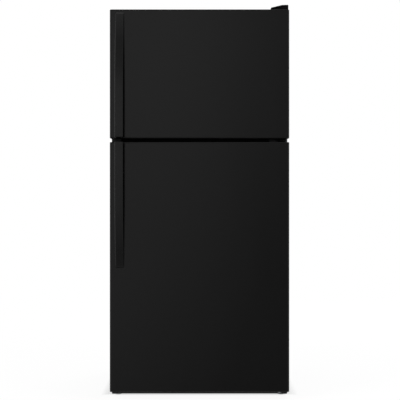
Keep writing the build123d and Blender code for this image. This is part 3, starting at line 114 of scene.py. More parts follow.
def ringLoft(low, high, inset, depth, radius, facing, steps=7, closed=False):
    # rounded rectangles between two corners, each drawn in by its inset and set at its depth;
    # the corner arcs shrink by the inset, so neighbouring rings stay parallel
    inset = np.asarray(inset, float)
    least = 0.0002
    radius = np.maximum(np.atleast_1d(radius)[None, :] - inset[:, None], least)
    a, b = roundRing(*[(high[i] - low[i]) / 2 - inset for i in (0, 1)], radius, steps)
    a = a + (low[0] + high[0]) / 2
    b = b + (low[1] + high[1]) / 2
    return surface(place(a, b, np.asarray(depth, float)[:, None], facing), closed)


def planeOf(low, high, facing):
    # splits a box into its rectangle across the facing axis and its two depths
    u, v, w = {"x": (1, 2, 0), "y": (0, 2, 1), "z": (0, 1, 2)}[facing]
    return (low[u], low[v]), (high[u], high[v]), (low[w], high[w])


def softBox(low, high, edge, facing="z", corner=None):
    # a box with quarter arcs round its two faces and arcs at its corners
    flatLow, flatHigh, span = planeOf(low, high, facing)
    corner = edge if corner is None else corner
    return ringLoft(flatLow, flatHigh, *rounded(span, edge, 5), corner, facing, steps=5)


openTub = {"foot": 0.004, "side": 0.004, "lip": 0.0008, "rimFoot": 0.010, "rimEnd": 0.013}


def tubShell(low, high, wall, rim, corner):
    # an open bin: up the outside, over a thicker rim, down the inside and across the floor
    foot, lip, top = openTub["foot"], openTub["lip"], high[2]
    drop, climb = quarter(5)
    inset = chain(foot * drop, [0, 0, lip, rim - lip, rim, rim, wall], wall + foot * climb)
    under = np.array([openTub["side"], lip, 0, 0, lip, openTub["rimFoot"], openTub["rimEnd"]])
    depth = chain(low[2] + foot * climb, top - under, low[2] + wall + foot * drop)
    return ringLoft(low[:2], high[:2], inset, depth, corner, "z")


def lathe(radius, along, centre, axis, sides=40, closed=False):
    # a profile of radius against distance along an axis, turned full circle about it
    turn = fullTurn(sides)
    radius = np.asarray(radius, float)[:, None]
    points = place(radius * np.cos(turn), radius * np.sin(turn), np.asarray(along, float)[:, None], axis)
    return surface(points + np.array(centre), closed)


def roundBar(path, radius, across, sides=10, closed=False):
    # a circle carried along a flat path; across is the direction square to the path's plane
    if closed:
        tangent = np.roll(path, -1, axis=0) - np.roll(path, 1, axis=0)
    else:
        tangent = np.gradient(path, axis=0)
    tangent /= np.linalg.norm(tangent, axis=1)[:, None]
    across = np.array(across, float)
    side = np.cross(across, tangent)
    turn = fullTurn(sides)
    ring = np.cos(turn)[None, :, None] * side[:, None, :] + np.sin(turn)[None, :, None] * across
    return surface(path[:, None, :] + radius * ring, closed)


def softOutline(points, radii, steps=6):
    # a closed outline whose corners are arcs: each arc starts and ends the same distance from its corner
    points, radii = np.asarray(points, float), np.asarray(radii, float)
    before = np.roll(points, 1, axis=0) - points
    after = np.roll(points, -1, axis=0) - points
    before /= np.linalg.norm(before, axis=1)[:, None]
    after /= np.linalg.norm(after, axis=1)[:, None]
    half = np.arccos(np.clip((before * after).sum(1), -1, 1)) / 2
    reach = radii / np.tan(half)
    middle = (before + after) / np.linalg.norm(before + after, axis=1)[:, None]
    centre = points + middle * (radii / np.sin(half))[:, None]
    start = points + before * reach[:, None] - centre
    end = points + after * reach[:, None] - centre
    blend = np.linspace(0, 1, steps)[None, :, None]
    sweep = (np.pi - 2 * half)[:, None, None]
    spread = np.maximum(np.sin(sweep), 1e-6)
    arc = (np.sin((1 - blend) * sweep) * start[:, None] + np.sin(blend * sweep) * end[:, None]) / spread
    return (centre[:, None] + arc).reshape(-1, 2)


def insetOutline(outline, inset):
    # moves each point inwards along the outline's own normal, for every inset given
    tangent = np.roll(outline, -1, axis=0) - np.roll(outline, 1, axis=0)
    tangent /= np.linalg.norm(tangent, axis=1)[:, None]
    normal = np.stack((-tangent[:, 1], tangent[:, 0]), axis=-1)
    area = (outline[:, 0] * np.roll(outline[:, 1], -1) - np.roll(outline[:, 0], -1) * outline[:, 1]).sum()
    return outline[None] + np.sign(area) * np.asarray(inset, float)[:, None, None] * normal[None]


def foldBack(sheet, axis, level):
    # the sheet's border carried straight to a back level, where one flat face closes it
    padded = np.pad(sheet, ((1, 1), (1, 1), (0, 0)), mode="edge")
    padded[[0, -1], :, axis] = level
    padded[:, [0, -1], axis] = level
    points, quads, _ = surface(padded, tube=False)
    index = np.arange(padded.shape[0] * padded.shape[1]).reshape(padded.shape[:2])
    return points, quads, [chain(index[0], index[1:, -1], index[-1, -2::-1], index[-2:0:-1, 0])]


# finishes, on Object coordinates in metres, so that a scale of 100 gives marks of about 10 mm: the mark is a noise
# as (scale, detail, stretch) or cells as (scale, feature), and spreads the tone and the roughness; each bump is
# (its own pattern, or None for the mark, height, strength)
finishSheet = {
    # door paint: faint orange peel over sheet that is never quite flat, with a little polish from wiping
    "satinBlackSteel": {"slot": "door_paint", "mark": (5, 4, (1, 1, 0.35)), "tone": (0.0006, 0.0010),
                        "rough": (0.11, 0.15), "specular": 0.25,
                        "bumps": (((3, 1), 0.0006, 0.06), ((420, 2), 0.00004, 0.15))},
    # cabinet sides: pebbled coating with dark hollows between its grains
    "stippledBlackPaint": {"slot": "cabinet_paint", "mark": (7, 3), "tone": (0.0034, 0.0052), "roughMark": (60, 3),
                           "rough": (0.44, 0.56), "specular": 0.28, "bumps": (((380, "SMOOTH_F1"), 0.00016, 0.7),)},
    # bay cover and shroud: fine spark texture, polished where hands rub
    "blackMoulding": {"slot": "black_plastic", "mark": (14, 5), "tone": (0.0022, 0.0036), "rough": (0.30, 0.44),
                      "specular": 0.18, "bumps": (((1400, 2), 0.00003, 0.6),)},
    # end caps and handles: the doors' black in smooth plastic, with a soft shine along its rounded edges
    "capMoulding": {"slot": "black_plastic", "mark": (9, 4, (0.3, 1, 1)), "tone": (0.0005, 0.0009),
                    "rough": (0.22, 0.32), "specular": 0.29, "bumps": (((700, 2), 0.00002, 0.3),)},
    # hinge cover and the rail behind the seals: grained so that it hardly shines; on the rail it is darker than the
    # cabinet's own paint, painted shade for the recess between the doors
    "mattBlack": {"slot": "black_plastic", "mark": (40, 5), "tone": (0.0012, 0.0022), "rough": (0.52, 0.7),
                  "specular": 0.07, "bumps": (((1100, 2), 0.00004, 0.6),)},
    # formed white sheet: soft gloss, stretched a little unevenly
    "liningPlastic": {"slot": "liner_plastic", "mark": (9, 3), "tone": ((0.775, 0.795, 0.805), (0.815, 0.83, 0.835)),
                      "rough": (0.2, 0.32), "bumps": (((240, 2), 0.00004, 0.35),)},
    # moulded shelf rims and control box: brighter than the lining, finely matt
    "whiteTrim": {"slot": "white_trim", "mark": (30, 4, (0.4, 1, 1)),
                  "tone": ((0.79, 0.80, 0.80), (0.83, 0.84, 0.84)),
                  "rough": (0.28, 0.40), "bumps": (((1200, 2), 0.00002, 0.5),)},
    # bins and drawers: clear where looked at squarely, cloudier along edges, with a cool cast and faint flow marks
    "clearPlastic": {"slot": "clear_plastic", "mark": (22, 4, (1, 1, 0.3)),
                     "tone": ((0.73, 0.80, 0.84), (0.83, 0.88, 0.90)),
                     "rough": (0.05, 0.13), "specular": 0.6, "bumps": (((160, 2), 0.00004, 0.4),),
                     "alpha": (0.17, 0.62)},
    # float glass: green in its depth, a few dull wiping marks
    "shelfPane": {"slot": "shelf_glass", "mark": (12, 4, (0.4, 1, 1)),
                  "tone": ((0.50, 0.68, 0.64), (0.60, 0.76, 0.72)),
                  "rough": (0.02, 0.09), "specular": 0.8, "alpha": 0.26},
    # milky cover of the lamp
    "lampLens": {"slot": "clear_plastic", "mark": (40, 3), "tone": ((0.84, 0.85, 0.82), (0.91, 0.92, 0.89)),
                 "rough": (0.18, 0.3), "alpha": 0.8},
    # soft black seal with a dusty bloom in its folds
    "sealRubber": {"slot": "seal_rubber", "mark": (45, 5), "tone": ((0.005, 0.005, 0.0055), (0.012, 0.012, 0.0125)),
                   "rough": (0.52, 0.72), "specular": 0.2, "bumps": (((900, 2), 0.00004, 0.5),)},
    # cream foam: closed cells of a millimetre or two
    "rigidFoam": {"slot": "insulation_foam", "mark": (18, 3), "tone": ((0.64, 0.52, 0.29), (0.76, 0.64, 0.40)),
                  "rough": 0.9, "specular": 0.2, "bumps": (((520, "F1"), 0.0004, 0.8),)},
    # galvanised sheet: spangles of differing tone, dulled a little
    "zincSheet": {"slot": "zinc_steel", "mark": (140, "F1"), "spangled": True,
                  "tone": ((0.34, 0.35, 0.36), (0.42, 0.43, 0.44)),
                  "rough": (0.48, 0.64), "metal": 0.8, "specular": 0.4, "bumps": (((600, 2), 0.00003, 0.4),)},
    # motors and heater: plated steel drawn through rolls, dull in streaks
    "platedSteel": {"slot": "zinc_steel", "mark": (220, 3, (1, 0.08, 1)),
                    "tone": ((0.36, 0.36, 0.37), (0.48, 0.48, 0.49)),
                    "rough": (0.28, 0.46), "metal": 1, "bumps": ((None, 0.00002, 0.4),)},
    # screws: oiled black plating over steel, rubbed along its edges
    "blackenedSteel": {"slot": "zinc_steel", "mark": (300, 4), "tone": ((0.022, 0.022, 0.023), (0.050, 0.050, 0.052)),
                       "rough": (0.34, 0.52), "metal": 0.8, "specular": 0.4, "bumps": ((None, 0.00002, 0.4),)},
    # hinge plates: thin black paint over steel, worn to a dull sheen
    "hingePaint": {"slot": "cabinet_paint", "mark": (90, 5), "tone": (0.004, 0.010), "rough": (0.36, 0.52),
                   "specular": 0.3, "bumps": (((700, 2), 0.00003, 0.5),)},
    # compressor and coil: dipped enamel with runs and a dusty top
    "blackEnamel": {"slot": "compressor_paint", "mark": (55, 4, (1, 1, 0.3)), "tone": (0.008, (0.018, 0.018, 0.017)),
                    "rough": (0.22, 0.45), "specular": 0.4, "bumps": ((None, 0.0002, 0.4),)},
    # evaporator fins and tubes: bright, with a light grain along X
    "bareAluminium": {"slot": "coil_aluminium", "mark": (500, 2, (0.1, 1, 1)),
                      "tone": ((0.70, 0.71, 0.72), (0.81, 0.82, 0.83)),
                      "rough": (0.28, 0.42), "metal": 1, "bumps": ((None, 0.00002, 0.4),)},
    # white coated wire: thick soft coating that pools a little
    "coatedWire": {"slot": "shelf_wire", "mark": (120, 3), "tone": ((0.76, 0.77, 0.76), (0.83, 0.84, 0.83)),
                   "rough": (0.24, 0.38), "bumps": ((None, 0.00012, 0.4),)},
    # fans, rollers, feet and tray: grey moulding scuffed pale on its high spots
    "greyMoulding": {"slot": "grey_plastic", "mark": (70, 6), "tone": ((0.034, 0.034, 0.036), (0.062, 0.062, 0.065)),
                     "rough": (0.42, 0.6), "specular": 0.35, "bumps": (((1000, 2), 0.00003, 0.5),)},
}
spreadSpan = (0.3, 0.7)  # the part of a mark's range that goes from one end of a tone or roughness to the other
edgeBlend = 0.3  # how far from its edges a clear finish begins to cloud


def nodeTools(tree):
    # for one node tree: feed inputs with values or sockets, add a node, and work out two numbers
    def feed(node, inputs):
        for key, value in inputs.items():
            if isinstance(value, bpy.types.NodeSocket):
                tree.links.new(value, node.inputs[key])
            else:
                node.inputs[key].default_value = value

    def add(kind, inputs, **settings):
        node = tree.nodes.new("ShaderNode" + kind)
        for key, value in settings.items():
            setattr(node, key, value)
        feed(node, inputs)
        return node

    def calc(operation, first, second=0.0):
        return add("Math", {0: first, 1: second}, operation=operation).outputs["Value"]

    return feed, add, calc


def makeFinish(name, sheet):
    # the mark gives the colour through a ramp and the roughness through a range; bumps are stacked by their normals
    material = bpy.data.materials.new(name)
    material.use_nodes = True
    feed, add, _ = nodeTools(material.node_tree)
    shader = material.node_tree.nodes["Principled BSDF"]
    where = add("TexCoord", {}).outputs["Object"]

    def pattern(scale, kind, stretch=None):
        if isinstance(kind, str):
            return add("TexVoronoi", {"Vector": where, "Scale": scale}, feature=kind).outputs
        at = add("Mapping", {"Vector": where, "Scale": stretch}).outputs["Vector"] if stretch else where
        return add("TexNoise", {"Vector": at, "Scale": scale, "Detail": kind}).outputs

    mark = pattern(*sheet["mark"])
    toneMark = roughMark = mark[0]
    if "roughMark" in sheet:
        roughMark = pattern(*sheet["roughMark"])[0]
    if "spangled" in sheet:
        channels = add("SeparateColor", {"Color": mark["Color"]}).outputs
        toneMark, roughMark = channels["Red"], channels["Green"]
    tones = [tone if isinstance(tone, tuple) else (tone,) * 3 for tone in sheet["tone"]]
    ramp = add("ValToRGB", {"Fac": toneMark})
    for stop, at, tone in zip(ramp.color_ramp.elements, spreadSpan, tones):
        stop.position = at
        stop.color = (*tone, 1)
    rough, alpha = sheet["rough"], sheet.get("alpha", 1.0)
    # the middle tone and roughness stand on the shader's sockets, beneath what is linked to them
    feed(shader, {"Base Color": (*np.mean(tones, axis=0), 1), "Roughness": np.mean(rough),
                  "Metallic": sheet.get("metal", 0), "Specular IOR Level": sheet.get("specular", 0.5)})
    if isinstance(rough, tuple):
        rough = add("MapRange", {"Value": roughMark, "From Min": spreadSpan[0], "From Max": spreadSpan[1],
                                 "To Min": rough[0], "To Max": rough[1]}).outputs["Result"]
    if isinstance(alpha, tuple):
        facing = add("LayerWeight", {"Blend": edgeBlend}).outputs["Facing"]
        alpha = add("MapRange", {"Value": facing, "To Min": alpha[0], "To Max": alpha[1]}).outputs["Result"]
    feed(shader, {"Base Color": ramp.outputs["Color"], "Roughness": rough, "Alpha": alpha})
    under = {}
    for own, height, strength in sheet.get("bumps", ()):
        relief = pattern(*own)[0] if own else mark[0]
        bump = add("Bump", {"Height": relief, "Distance": height, "Strength": strength, **under})
        under = {"Normal": bump.outputs["Normal"]}
    feed(shader, under)
    return material


finish = {name: makeFinish(name, sheet) for name, sheet in finishSheet.items()}
slotOf = {name: sheet["slot"] for name, sheet in finishSheet.items()}
# the rail between the doors takes this darker matt black in the cabinet's paint slot: painted shade for the recess
# between the doors
finish["railShadePaint"], slotOf["railShadePaint"] = finish["mattBlack"], "cabinet_paint"
print("finishes:", len(finish))


mergeDistance = 0.000002


def dress(name, node, mesh, finishName, body="cabinet", sharp=35):
    # merges loose points, turns faces outwards, shades round faces smoothly, and stands for a CAD node on its body
    work = bmesh.new()
    work.from_mesh(mesh)
    bmesh.ops.remove_doubles(work, verts=work.verts, dist=mergeDistance)
    bmesh.ops.dissolve_degenerate(work, edges=work.edges, dist=mergeDistance)
    bmesh.ops.recalc_face_normals(work, faces=work.faces)
    work.to_mesh(mesh)
    work.free()
    mesh.polygons.foreach_set("use_smooth", np.ones(len(mesh.polygons), bool))
    mesh.set_sharp_from_angle(angle=math.radians(sharp))
    mesh.materials.append(finish[finishName])
    mesh.name = name
    piece = bpy.data.objects.new(name, mesh)
    bpy.context.scene.collection.objects.link(piece)
    flatten = piece.modifiers.new("flatten", "WEIGHTED_NORMAL")  # broad faces stay flat beside their round edges
    flatten.mode, flatten.weight, flatten.keep_sharp = "FACE_AREA", 100, True
    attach(piece, body)
    if node:
        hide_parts(node)


def build(name, node, surfaces, finishName, body="cabinet", sharp=40):
    # joins the surfaces' points and faces into one mesh
    offset = 0
    points, loops, sizes = [], [], []
    for surfacePoints, quads, caps in surfaces:
        points.append(surfacePoints)
        loops += [(quads + offset).ravel()] + [cap + offset for cap in caps]
        sizes += [np.full(len(quads), 4), np.array([len(cap) for cap in caps], int)]
        offset += len(surfacePoints)
    points, loops, sizes = np.vstack(points), np.concatenate(loops), np.concatenate(sizes)
    mesh = bpy.data.meshes.new(name)
    mesh.vertices.add(len(points))
    mesh.vertices.foreach_set("co", points.astype(np.float32).ravel())
    mesh.loops.add(len(loops))
    mesh.loops.foreach_set("vertex_index", loops.astype(np.int32))
    mesh.polygons.add(len(sizes))
    mesh.polygons.foreach_set("loop_start", chain([0], np.cumsum(sizes)[:-1]).astype(np.int32))
    mesh.update(calc_edges=True)
    mesh.validate()
    dress(name, node, mesh, finishName, body, sharp)


# doors: a folded skin and two end caps each
doorSkin = {
    "corner": 0.009, "thick": 0.001, "hem": 0.0009, "arcSteps": 12, "fold": 0.0165, "foldSheet": 0.0007,
    "foldEdge": 0.0003, "proud": 0.7}
doorCap = {
    "corner": 0.009, "backCorner": 0.0015, "edge": 0.0025, "seam": 0.0005, "field": 0.007, "fieldDrop": 0.0008,
    "fieldEdge": 0.001, "wrap": 0.009, "wrapSheet": 0.0025, "wrapEdge": 0.0008}


def skinSurface(low, high):
    # a plan path from one back edge round both front corners to the other, and a closed profile across
    # the sheet carried along it; the profile's ends curl in by a small hem
    corner, thick, hem = doorSkin["corner"], doorSkin["thick"], doorSkin["hem"]
    turn = np.linspace(0, np.pi / 2, doorSkin["arcSteps"])
    arcX = low[0] + corner - corner * np.cos(turn)
    arcY = low[1] + corner - corner * np.sin(turn)
    x = chain([low[0]], arcX, -arcX[::-1], [high[0]])
    y = chain([high[1]], arcY, arcY[::-1], [high[1]])
    outX = chain([-1], -np.cos(turn), np.cos(turn)[::-1], [1])
    outY = chain([0], -np.sin(turn), -np.sin(turn)[::-1], [0])
    inset, z = rounded((low[2], high[2]), hem, 4)
    inset, z = np.append(inset, [thick, thick]), np.append(z, [high[2], low[2]])
    pointsX = x[None] - inset[:, None] * outX[None]
    pointsY = y[None] - inset[:, None] * outY[None]
    grid = np.stack((pointsX, pointsY, np.broadcast_to(z[:, None], pointsX.shape)), axis=-1)
    return surface(grid.transpose(1, 0, 2))


def capSurface(low, high, upward):
    # the lip's outline in rings: a seam line, a straight side, a quarter round and a sunk field on its face
    edge, seam, field = doorCap["edge"], doorCap["seam"], doorCap["field"]
    drop, climb = quarter(7)
    lip = high[2] - low[2]
    inset = chain([seam, 0], edge * climb, [field, field + doorCap["fieldEdge"]])
    rise = chain([0, seam], lip - edge * drop, [lip, lip - doorCap["fieldDrop"]])
    z = low[2] + rise if upward else high[2] - rise
    radius = [doorCap["backCorner"]] * 2 + [doorCap["corner"]] * 2
    return ringLoft(low[:2], high[:2], inset, z, radius, "z", steps=9)


for door in ("freezer", "fridge"):
    body = door + "_door"
    skinLow, skinHigh = corners(body + "_skin")
    capLow, capHigh = corners(body + "_caps")
    sheets = [skinSurface(skinLow, skinHigh)]
    # the sheet is folded over the inner panel's rim down both sides
    rear = capHigh[1] + doorSkin["foldSheet"] * doorSkin["proud"]
    bottom, top = skinLow[2] + doorCap["wrap"], skinHigh[2] - doorCap["wrap"]
    for reach, front in ((doorSkin["thick"], skinHigh[1] - doorSkin["thick"]),
                         (doorSkin["fold"], rear - doorSkin["foldSheet"])):
        for x in ((skinLow[0], skinLow[0] + reach), (skinHigh[0] - reach, skinHigh[0])):
            sheets.append(softBox((x[0], front, bottom), (x[1], rear, top), doorSkin["foldEdge"]))
    build(door + "DoorSkin", body + "_skin", sheets, "satinBlackSteel", body, sharp=50)
    upperLow, lowerHigh = np.array([*capLow[:2], skinHigh[2]]), np.array([*capHigh[:2], skinLow[2]])
    lips = [capSurface(upperLow, capHigh, True), capSurface(capLow, lowerHigh, False)]
    wrap, seam = doorCap["wrap"], doorCap["seam"]
    for z in ((capHigh[2] - wrap, upperLow[2] + seam), (lowerHigh[2] - seam, capLow[2] + wrap)):
        wrapLow = (capLow[0], capHigh[1] - doorCap["wrapSheet"], z[0])
        lips.append(softBox(wrapLow, (capHigh[0], capHigh[1], z[1]), doorCap["wrapEdge"], "x"))
    build(door + "DoorCaps", body + "_caps", lips, "capMoulding", body, sharp=35)
print("doors: skins and end caps")

# handles: a bow in the YZ plane, straight by the gap between the doors and running out to a foot
bowHandle = {
    "straight": 0.150, "thick": 0.013, "tip": 0.011, "footStart": 0.442, "post": 0.016, "postWidth": 0.020,
    "postEdge": 0.002, "postInset": 0.0005, "outerEdge": 0.0045, "innerEdge": 0.0015, "backEdge": 0.0015,
    "gapRound": 0.003, "footRound": 0.007, "footNarrow": 0.4, "edgeShare": 0.9, "rows": 90}


def bowDrop(distance, start, run, drop):
    # how far an arc that leaves straight has fallen: the arc's radius less its cosine side
    radius = (run * run + drop * drop) / (2 * drop)
    along = np.clip(distance - start, 0, run)
    return radius - np.sqrt(radius * radius - along * along)


def handleSurfaces(low, high, gapEnd, away):
    # rounded rectangles stacked along the handle, between an outer and a back line that each leave straight
    # and then fall along an arc, and a post that joins it to the door by the gap
    p = bowHandle
    project, length = high[1] - low[1], high[2] - low[2]
    straight, thick, footStart = p["straight"], p["thick"], p["footStart"]
    # both ends are quarter rounds; the one at the foot is larger, but narrows the handle less
    gap, foot = p["gapRound"], p["footRound"]
    drop, climb = [line[:-1] for line in quarter(8)]
    t = chain(gap * climb, np.linspace(gap, length - foot, p["rows"]), length - foot * climb[::-1])
    shrink = chain(gap * drop, np.zeros(p["rows"]), foot * drop[::-1])
    nearGap = t < length / 2
    outer = project - bowDrop(t, straight, length - straight, project - p["tip"]) - shrink
    back = project - thick - bowDrop(t, straight, footStart - straight, project - thick)
    back = np.where(t > footStart, 0, np.maximum(back, 0)) + shrink * nearGap
    halfWidth = (high[0] - low[0]) / 2 - shrink * np.where(nearGap, 1, p["footNarrow"])
    halfThick = (outer - back) / 2
    edges = np.tile([p["innerEdge"], p["outerEdge"], p["backEdge"], p["backEdge"]], (len(t), 1))
    edges[:, 1] = np.minimum(edges[:, 1], halfThick * p["edgeShare"])
    a, b = roundRing(halfWidth, halfThick, edges, steps=7)
    x = a + (low[0] + high[0]) / 2
    y = high[1] - (b + ((outer + back) / 2)[:, None])
    z = np.broadcast_to((gapEnd + away * t)[:, None], x.shape)
    postZ = sorted((gapEnd + away * p["postInset"], gapEnd + away * p["post"]))
    post = softBox((low[0] + p["postInset"], low[1] + thick / 2, postZ[0]),
                   (low[0] + p["postWidth"], high[1], postZ[1]), p["postEdge"], "y")
    return [surface(np.stack((x, y, z), axis=-1)), post]


for door, away in (("fridge", -1), ("freezer", 1)):
    low, high = corners(door + "_handle")
    gapEnd = low[2] if away > 0 else high[2]
    build(door + "Handle", door + "_handle", handleSurfaces(low, high, gapEnd, away), "capMoulding", door + "_door",
          sharp=50)
print("handles")

# cover of the top hinge: its side outline carried from front to back, drawn in at both ends
hingeHood = {
    "start": 0.0085, "ramp": 0.046, "rampHeight": 0.0196, "height": 0.0205, "end": 0.004,
    "rounds": (0.0008, 0.0015, 0.006, 0.003, 0.0008)}
low, high = corners("hinge_cover")
outline = softOutline([(low[0], low[2]), (low[0], low[2] + hingeHood["start"]),
                       (low[0] + hingeHood["ramp"], low[2] + hingeHood["rampHeight"]),
                       (high[0], low[2] + hingeHood["height"]), (high[0], low[2])], hingeHood["rounds"])
inset, y = rounded((low[1], high[1]), hingeHood["end"], 6)
rings = insetOutline(outline, inset)
hood = surface(place(rings[..., 0], np.maximum(rings[..., 1], low[2]), y[:, None], "y"))
build("hingeHood", "hinge_cover", [hood], "mattBlack", sharp=35)
print("hinge cover")

# door seals: a folded section carried round the door, as (in from the outer edge, out from the door)
sealSection = np.array([
    (0.0, 0.0), (0.0, 0.0030), (0.0012, 0.0045), (0.0030, 0.0052), (0.0036, 0.0064), (0.0024, 0.0080),
    (0.0030, 0.0094), (0.0044, 0.0102), (0.0030, 0.0116), (0.0032, 0.0128), (0.0048, 0.0136), (0.0132, 0.0136),
    (0.0148, 0.0128), (0.0150, 0.0116), (0.0136, 0.0102), (0.0150, 0.0094), (0.0156, 0.0080), (0.0144, 0.0064),
    (0.0150, 0.0052), (0.0168, 0.0045), (0.0180, 0.0030), (0.0180, 0.0)])
sealCorner = 0.008
for door in ("freezer", "fridge"):
    flatLow, flatHigh, span = planeOf(*corners(door + "_door_gasket"), "y")
    scale = (span[1] - span[0]) / sealSection[:, 1].max()
    ring = ringLoft(flatLow, flatHigh, sealSection[:, 0], span[0] + sealSection[:, 1] * scale, sealCorner, "y",
                    closed=True)
    build(door + "Seal", door + "_door_gasket", [ring], "sealRubber", door + "_door", sharp=60)
print("seals")

# inner door panels: one sheet in rings from its rim over the raised border to the flat middle
innerPanel = {
    "sheet": 0.0025, "dikeWidth": 0.020, "round": 0.006, "rimCorner": 0.002, "dikeCorner": 0.012, "least": 0.0012,
    "rim": ((0.0026, 0.0), (0.0014, 0.0008), (0.0022, 0.0025))}
doorInside = {
    "freezer": {"half": 0.292, "low": 1.147, "high": 1.573, "lugs": (1.179, 1.384), "reach": 0.005,
                "middleLugs": (), "rail": None},
    "fridge": {"half": 0.306, "low": 0.118, "high": 1.043, "lugs": (0.150, 0.390, 0.800), "reach": 0.009,
               "middleLugs": (0.390, 0.800), "rail": (0.640, 0.656)},
}
binLug = {"middleHalf": 0.018, "height": 0.008, "length": 0.060, "edge": 0.002, "root": 0.002, "sideRoot": 0.001}
crossRail = {"stand": 0.014, "depth": 0.010, "edge": 0.003}


def panelRings(low, high, dikeLow, dikeHigh):
    # rings with an inset from their own rectangle and a depth: the rim's, then the border's foot, top and inner side
    flatLow, flatHigh, span = planeOf(low, high, "y")
    face = span[0] + innerPanel["sheet"]
    bend, width = innerPanel["round"], innerPanel["dikeWidth"]
    drop, climb = quarter(6)
    rim = np.array(innerPanel["rim"])
    inset = chain(rim[:, 0], -bend * drop, bend * climb, width - bend * climb[::-1], [width])
    depth = chain(span[0] + rim[:, 1], face + bend * climb, span[1] - bend * drop, span[1] - bend * drop[::-1],
                  [face])
    onRim = (np.arange(len(inset)) < len(rim))[:, None]
    ringLow, ringHigh = np.where(onRim, flatLow, dikeLow), np.where(onRim, flatHigh, dikeHigh)
    half = (ringHigh - ringLow) / 2 - inset[:, None]
    middle = (ringHigh + ringLow) / 2
    corner = np.where(onRim[:, 0], innerPanel["rimCorner"], innerPanel["dikeCorner"])
    a, b = roundRing(*half.T, np.maximum(corner - inset, innerPanel["least"]), steps=7)
    return surface(place(a + middle[:, :1], b + middle[:, 1:], depth[:, None], "y"))


for door, inside in doorInside.items():
    low, high = corners(door + "_door_panel")
    back = low[1] + innerPanel["sheet"]
    half = inside["half"] - innerPanel["dikeWidth"]
    root, reach = binLug["sideRoot"], inside["reach"]
    parts = [panelRings(low, high, (-inside["half"], inside["low"]), (inside["half"], inside["high"]))]
    ends = ((-half - root, -half + reach), (half - reach, half + root))
    lugs = [(x, level) for level in inside["lugs"] for x in ends]
    lugs += [((-binLug["middleHalf"], binLug["middleHalf"]), level) for level in inside["middleLugs"]]
    for x, level in lugs:
        lugLow = (x[0], back - binLug["root"], level - binLug["height"])
        parts.append(softBox(lugLow, (x[1], back + binLug["length"], level), binLug["edge"], "y"))
    if inside["rail"]:
        front = back + crossRail["stand"]
        railHigh = (half + root, front + crossRail["depth"], inside["rail"][1])
        parts.append(softBox((-half - root, front, inside["rail"][0]), railHigh, crossRail["edge"], "x"))
    build(door + "DoorPanel", door + "_door_panel", parts, "liningPlastic", door + "_door")
print("inner door panels")

# door bins: open tubs with a rolled rim, round on the side that faces the cabinet
doorBin = {
    "wall": 0.0025, "rim": 0.0042, "fridgeCorner": (0.022, 0.022, 0.002, 0.002),
    "freezerCorner": (0.010, 0.010, 0.002, 0.002), "bottom": (0.150, 0.260), "gallon": (0.390, 0.495),
    "upper": (0.800, 0.886), "split": 0.003, "freezer": ((1.179, 1.263), (1.384, 1.468))}


def binSurface(x, y, z, corner="fridgeCorner"):
    # an open bin over three spans, with the door bins' wall and rim
    return tubShell((x[0], y[0], z[0]), (x[1], y[1], z[1]), doorBin["wall"], doorBin["rim"], doorBin[corner])


(x0, y0, _), (x1, y1, _) = corners("fridge_door_bins")
bins = [binSurface((x0, x1), (y0, y1), doorBin["bottom"])]
bins += [binSurface(x, (y0, y1), doorBin[row]) for row in ("gallon", "upper")
         for x in ((x0, -doorBin["split"]), (doorBin["split"], x1))]
build("fridgeDoorBins", "fridge_door_bins", bins, "clearPlastic", "fridge_door")
(x0, y0, _), (x1, y1, _) = corners("freezer_door_bins")
bins = [binSurface((x0, x1), (y0, y1), z, "freezerCorner") for z in doorBin["freezer"]]
build("freezerDoorBins", "freezer_door_bins", bins, "clearPlastic", "freezer_door")

# the bin that hangs on the cross rail: a tub, a flange over the rail and a lip behind it
hangingBin = {
    "bodyStart": 0.0163, "lap": 0.0003, "flange": 0.0027, "lipDrop": 0.0137, "lipTop": 0.0005, "edge": 0.0009}
low, high = corners("slide_bin")
start, flange, edge = low[1] + hangingBin["bodyStart"], hangingBin["flange"], hangingBin["edge"]
parts = [binSurface((low[0], high[0]), (start - hangingBin["lap"], high[1]), (low[2], high[2])),
         softBox((low[0], low[1], high[2] - flange), (high[0], start + doorBin["wall"], high[2]), edge, "x"),
         softBox((low[0], low[1], high[2] - hangingBin["lipDrop"]),
                 (high[0], low[1] + flange, high[2] - hangingBin["lipTop"]), edge, "x")]
build("slideBin", "slide_bin", parts, "clearPlastic", "slide_bin")

# lid of the dairy bin: a plate, a tongue behind it, a drop at its front, and two ears with pins
dairyLid = {
    "sheet": 0.0025, "drop": 0.040, "dropTop": 0.0003, "inset": 0.0028, "turnRoom": 0.0185, "cornerInset": 0.022,
    "edge": 0.0008, "plateCorner": 0.004, "dropCorner": 0.006, "pinBack": 0.008, "pinDown": 0.0083,
    "pinRadius": 0.003, "pinEdge": 0.0005, "ear": 0.004, "earEdge": 0.0006, "lap": 0.001}
p = dairyLid
low, high = corners("dairy_lid")
sheet, edge, lap, ear = p["sheet"], p["edge"], p["lap"], p["ear"]
rim, hinge = high[2] - sheet, low[1] + p["turnRoom"]
pinY, pinZ = low[1] + p["pinBack"], rim - p["pinDown"]
inner = (low[0] + p["inset"], high[0] - p["inset"])
parts = [softBox((low[0], hinge, rim), high, edge, "z", p["plateCorner"]),
         softBox((inner[0], low[1], rim), (inner[1], hinge + lap, high[2]), edge),
         softBox((low[0] + p["cornerInset"], high[1] - sheet, rim - p["drop"]),
                 (high[0] - p["cornerInset"], high[1], high[2] - p["dropTop"]), edge, "y", p["dropCorner"])]
pinR = p["pinRadius"] - np.array([p["pinEdge"], 0, 0, p["pinEdge"]])
for wall, inward in ((inner[0], 1), (inner[1], -1)):
    x = sorted((wall, wall + inward * sheet))
    parts.append(softBox((x[0], pinY - ear, pinZ - ear), (x[1], pinY + ear, rim + lap), p["earEdge"], "x"))
    start, end = sorted((wall + inward * lap, wall - inward * p["inset"]))
    parts.append(lathe(pinR, [start, start + p["pinEdge"], end - p["pinEdge"], end], (0, pinY, pinZ), "x", sides=20))
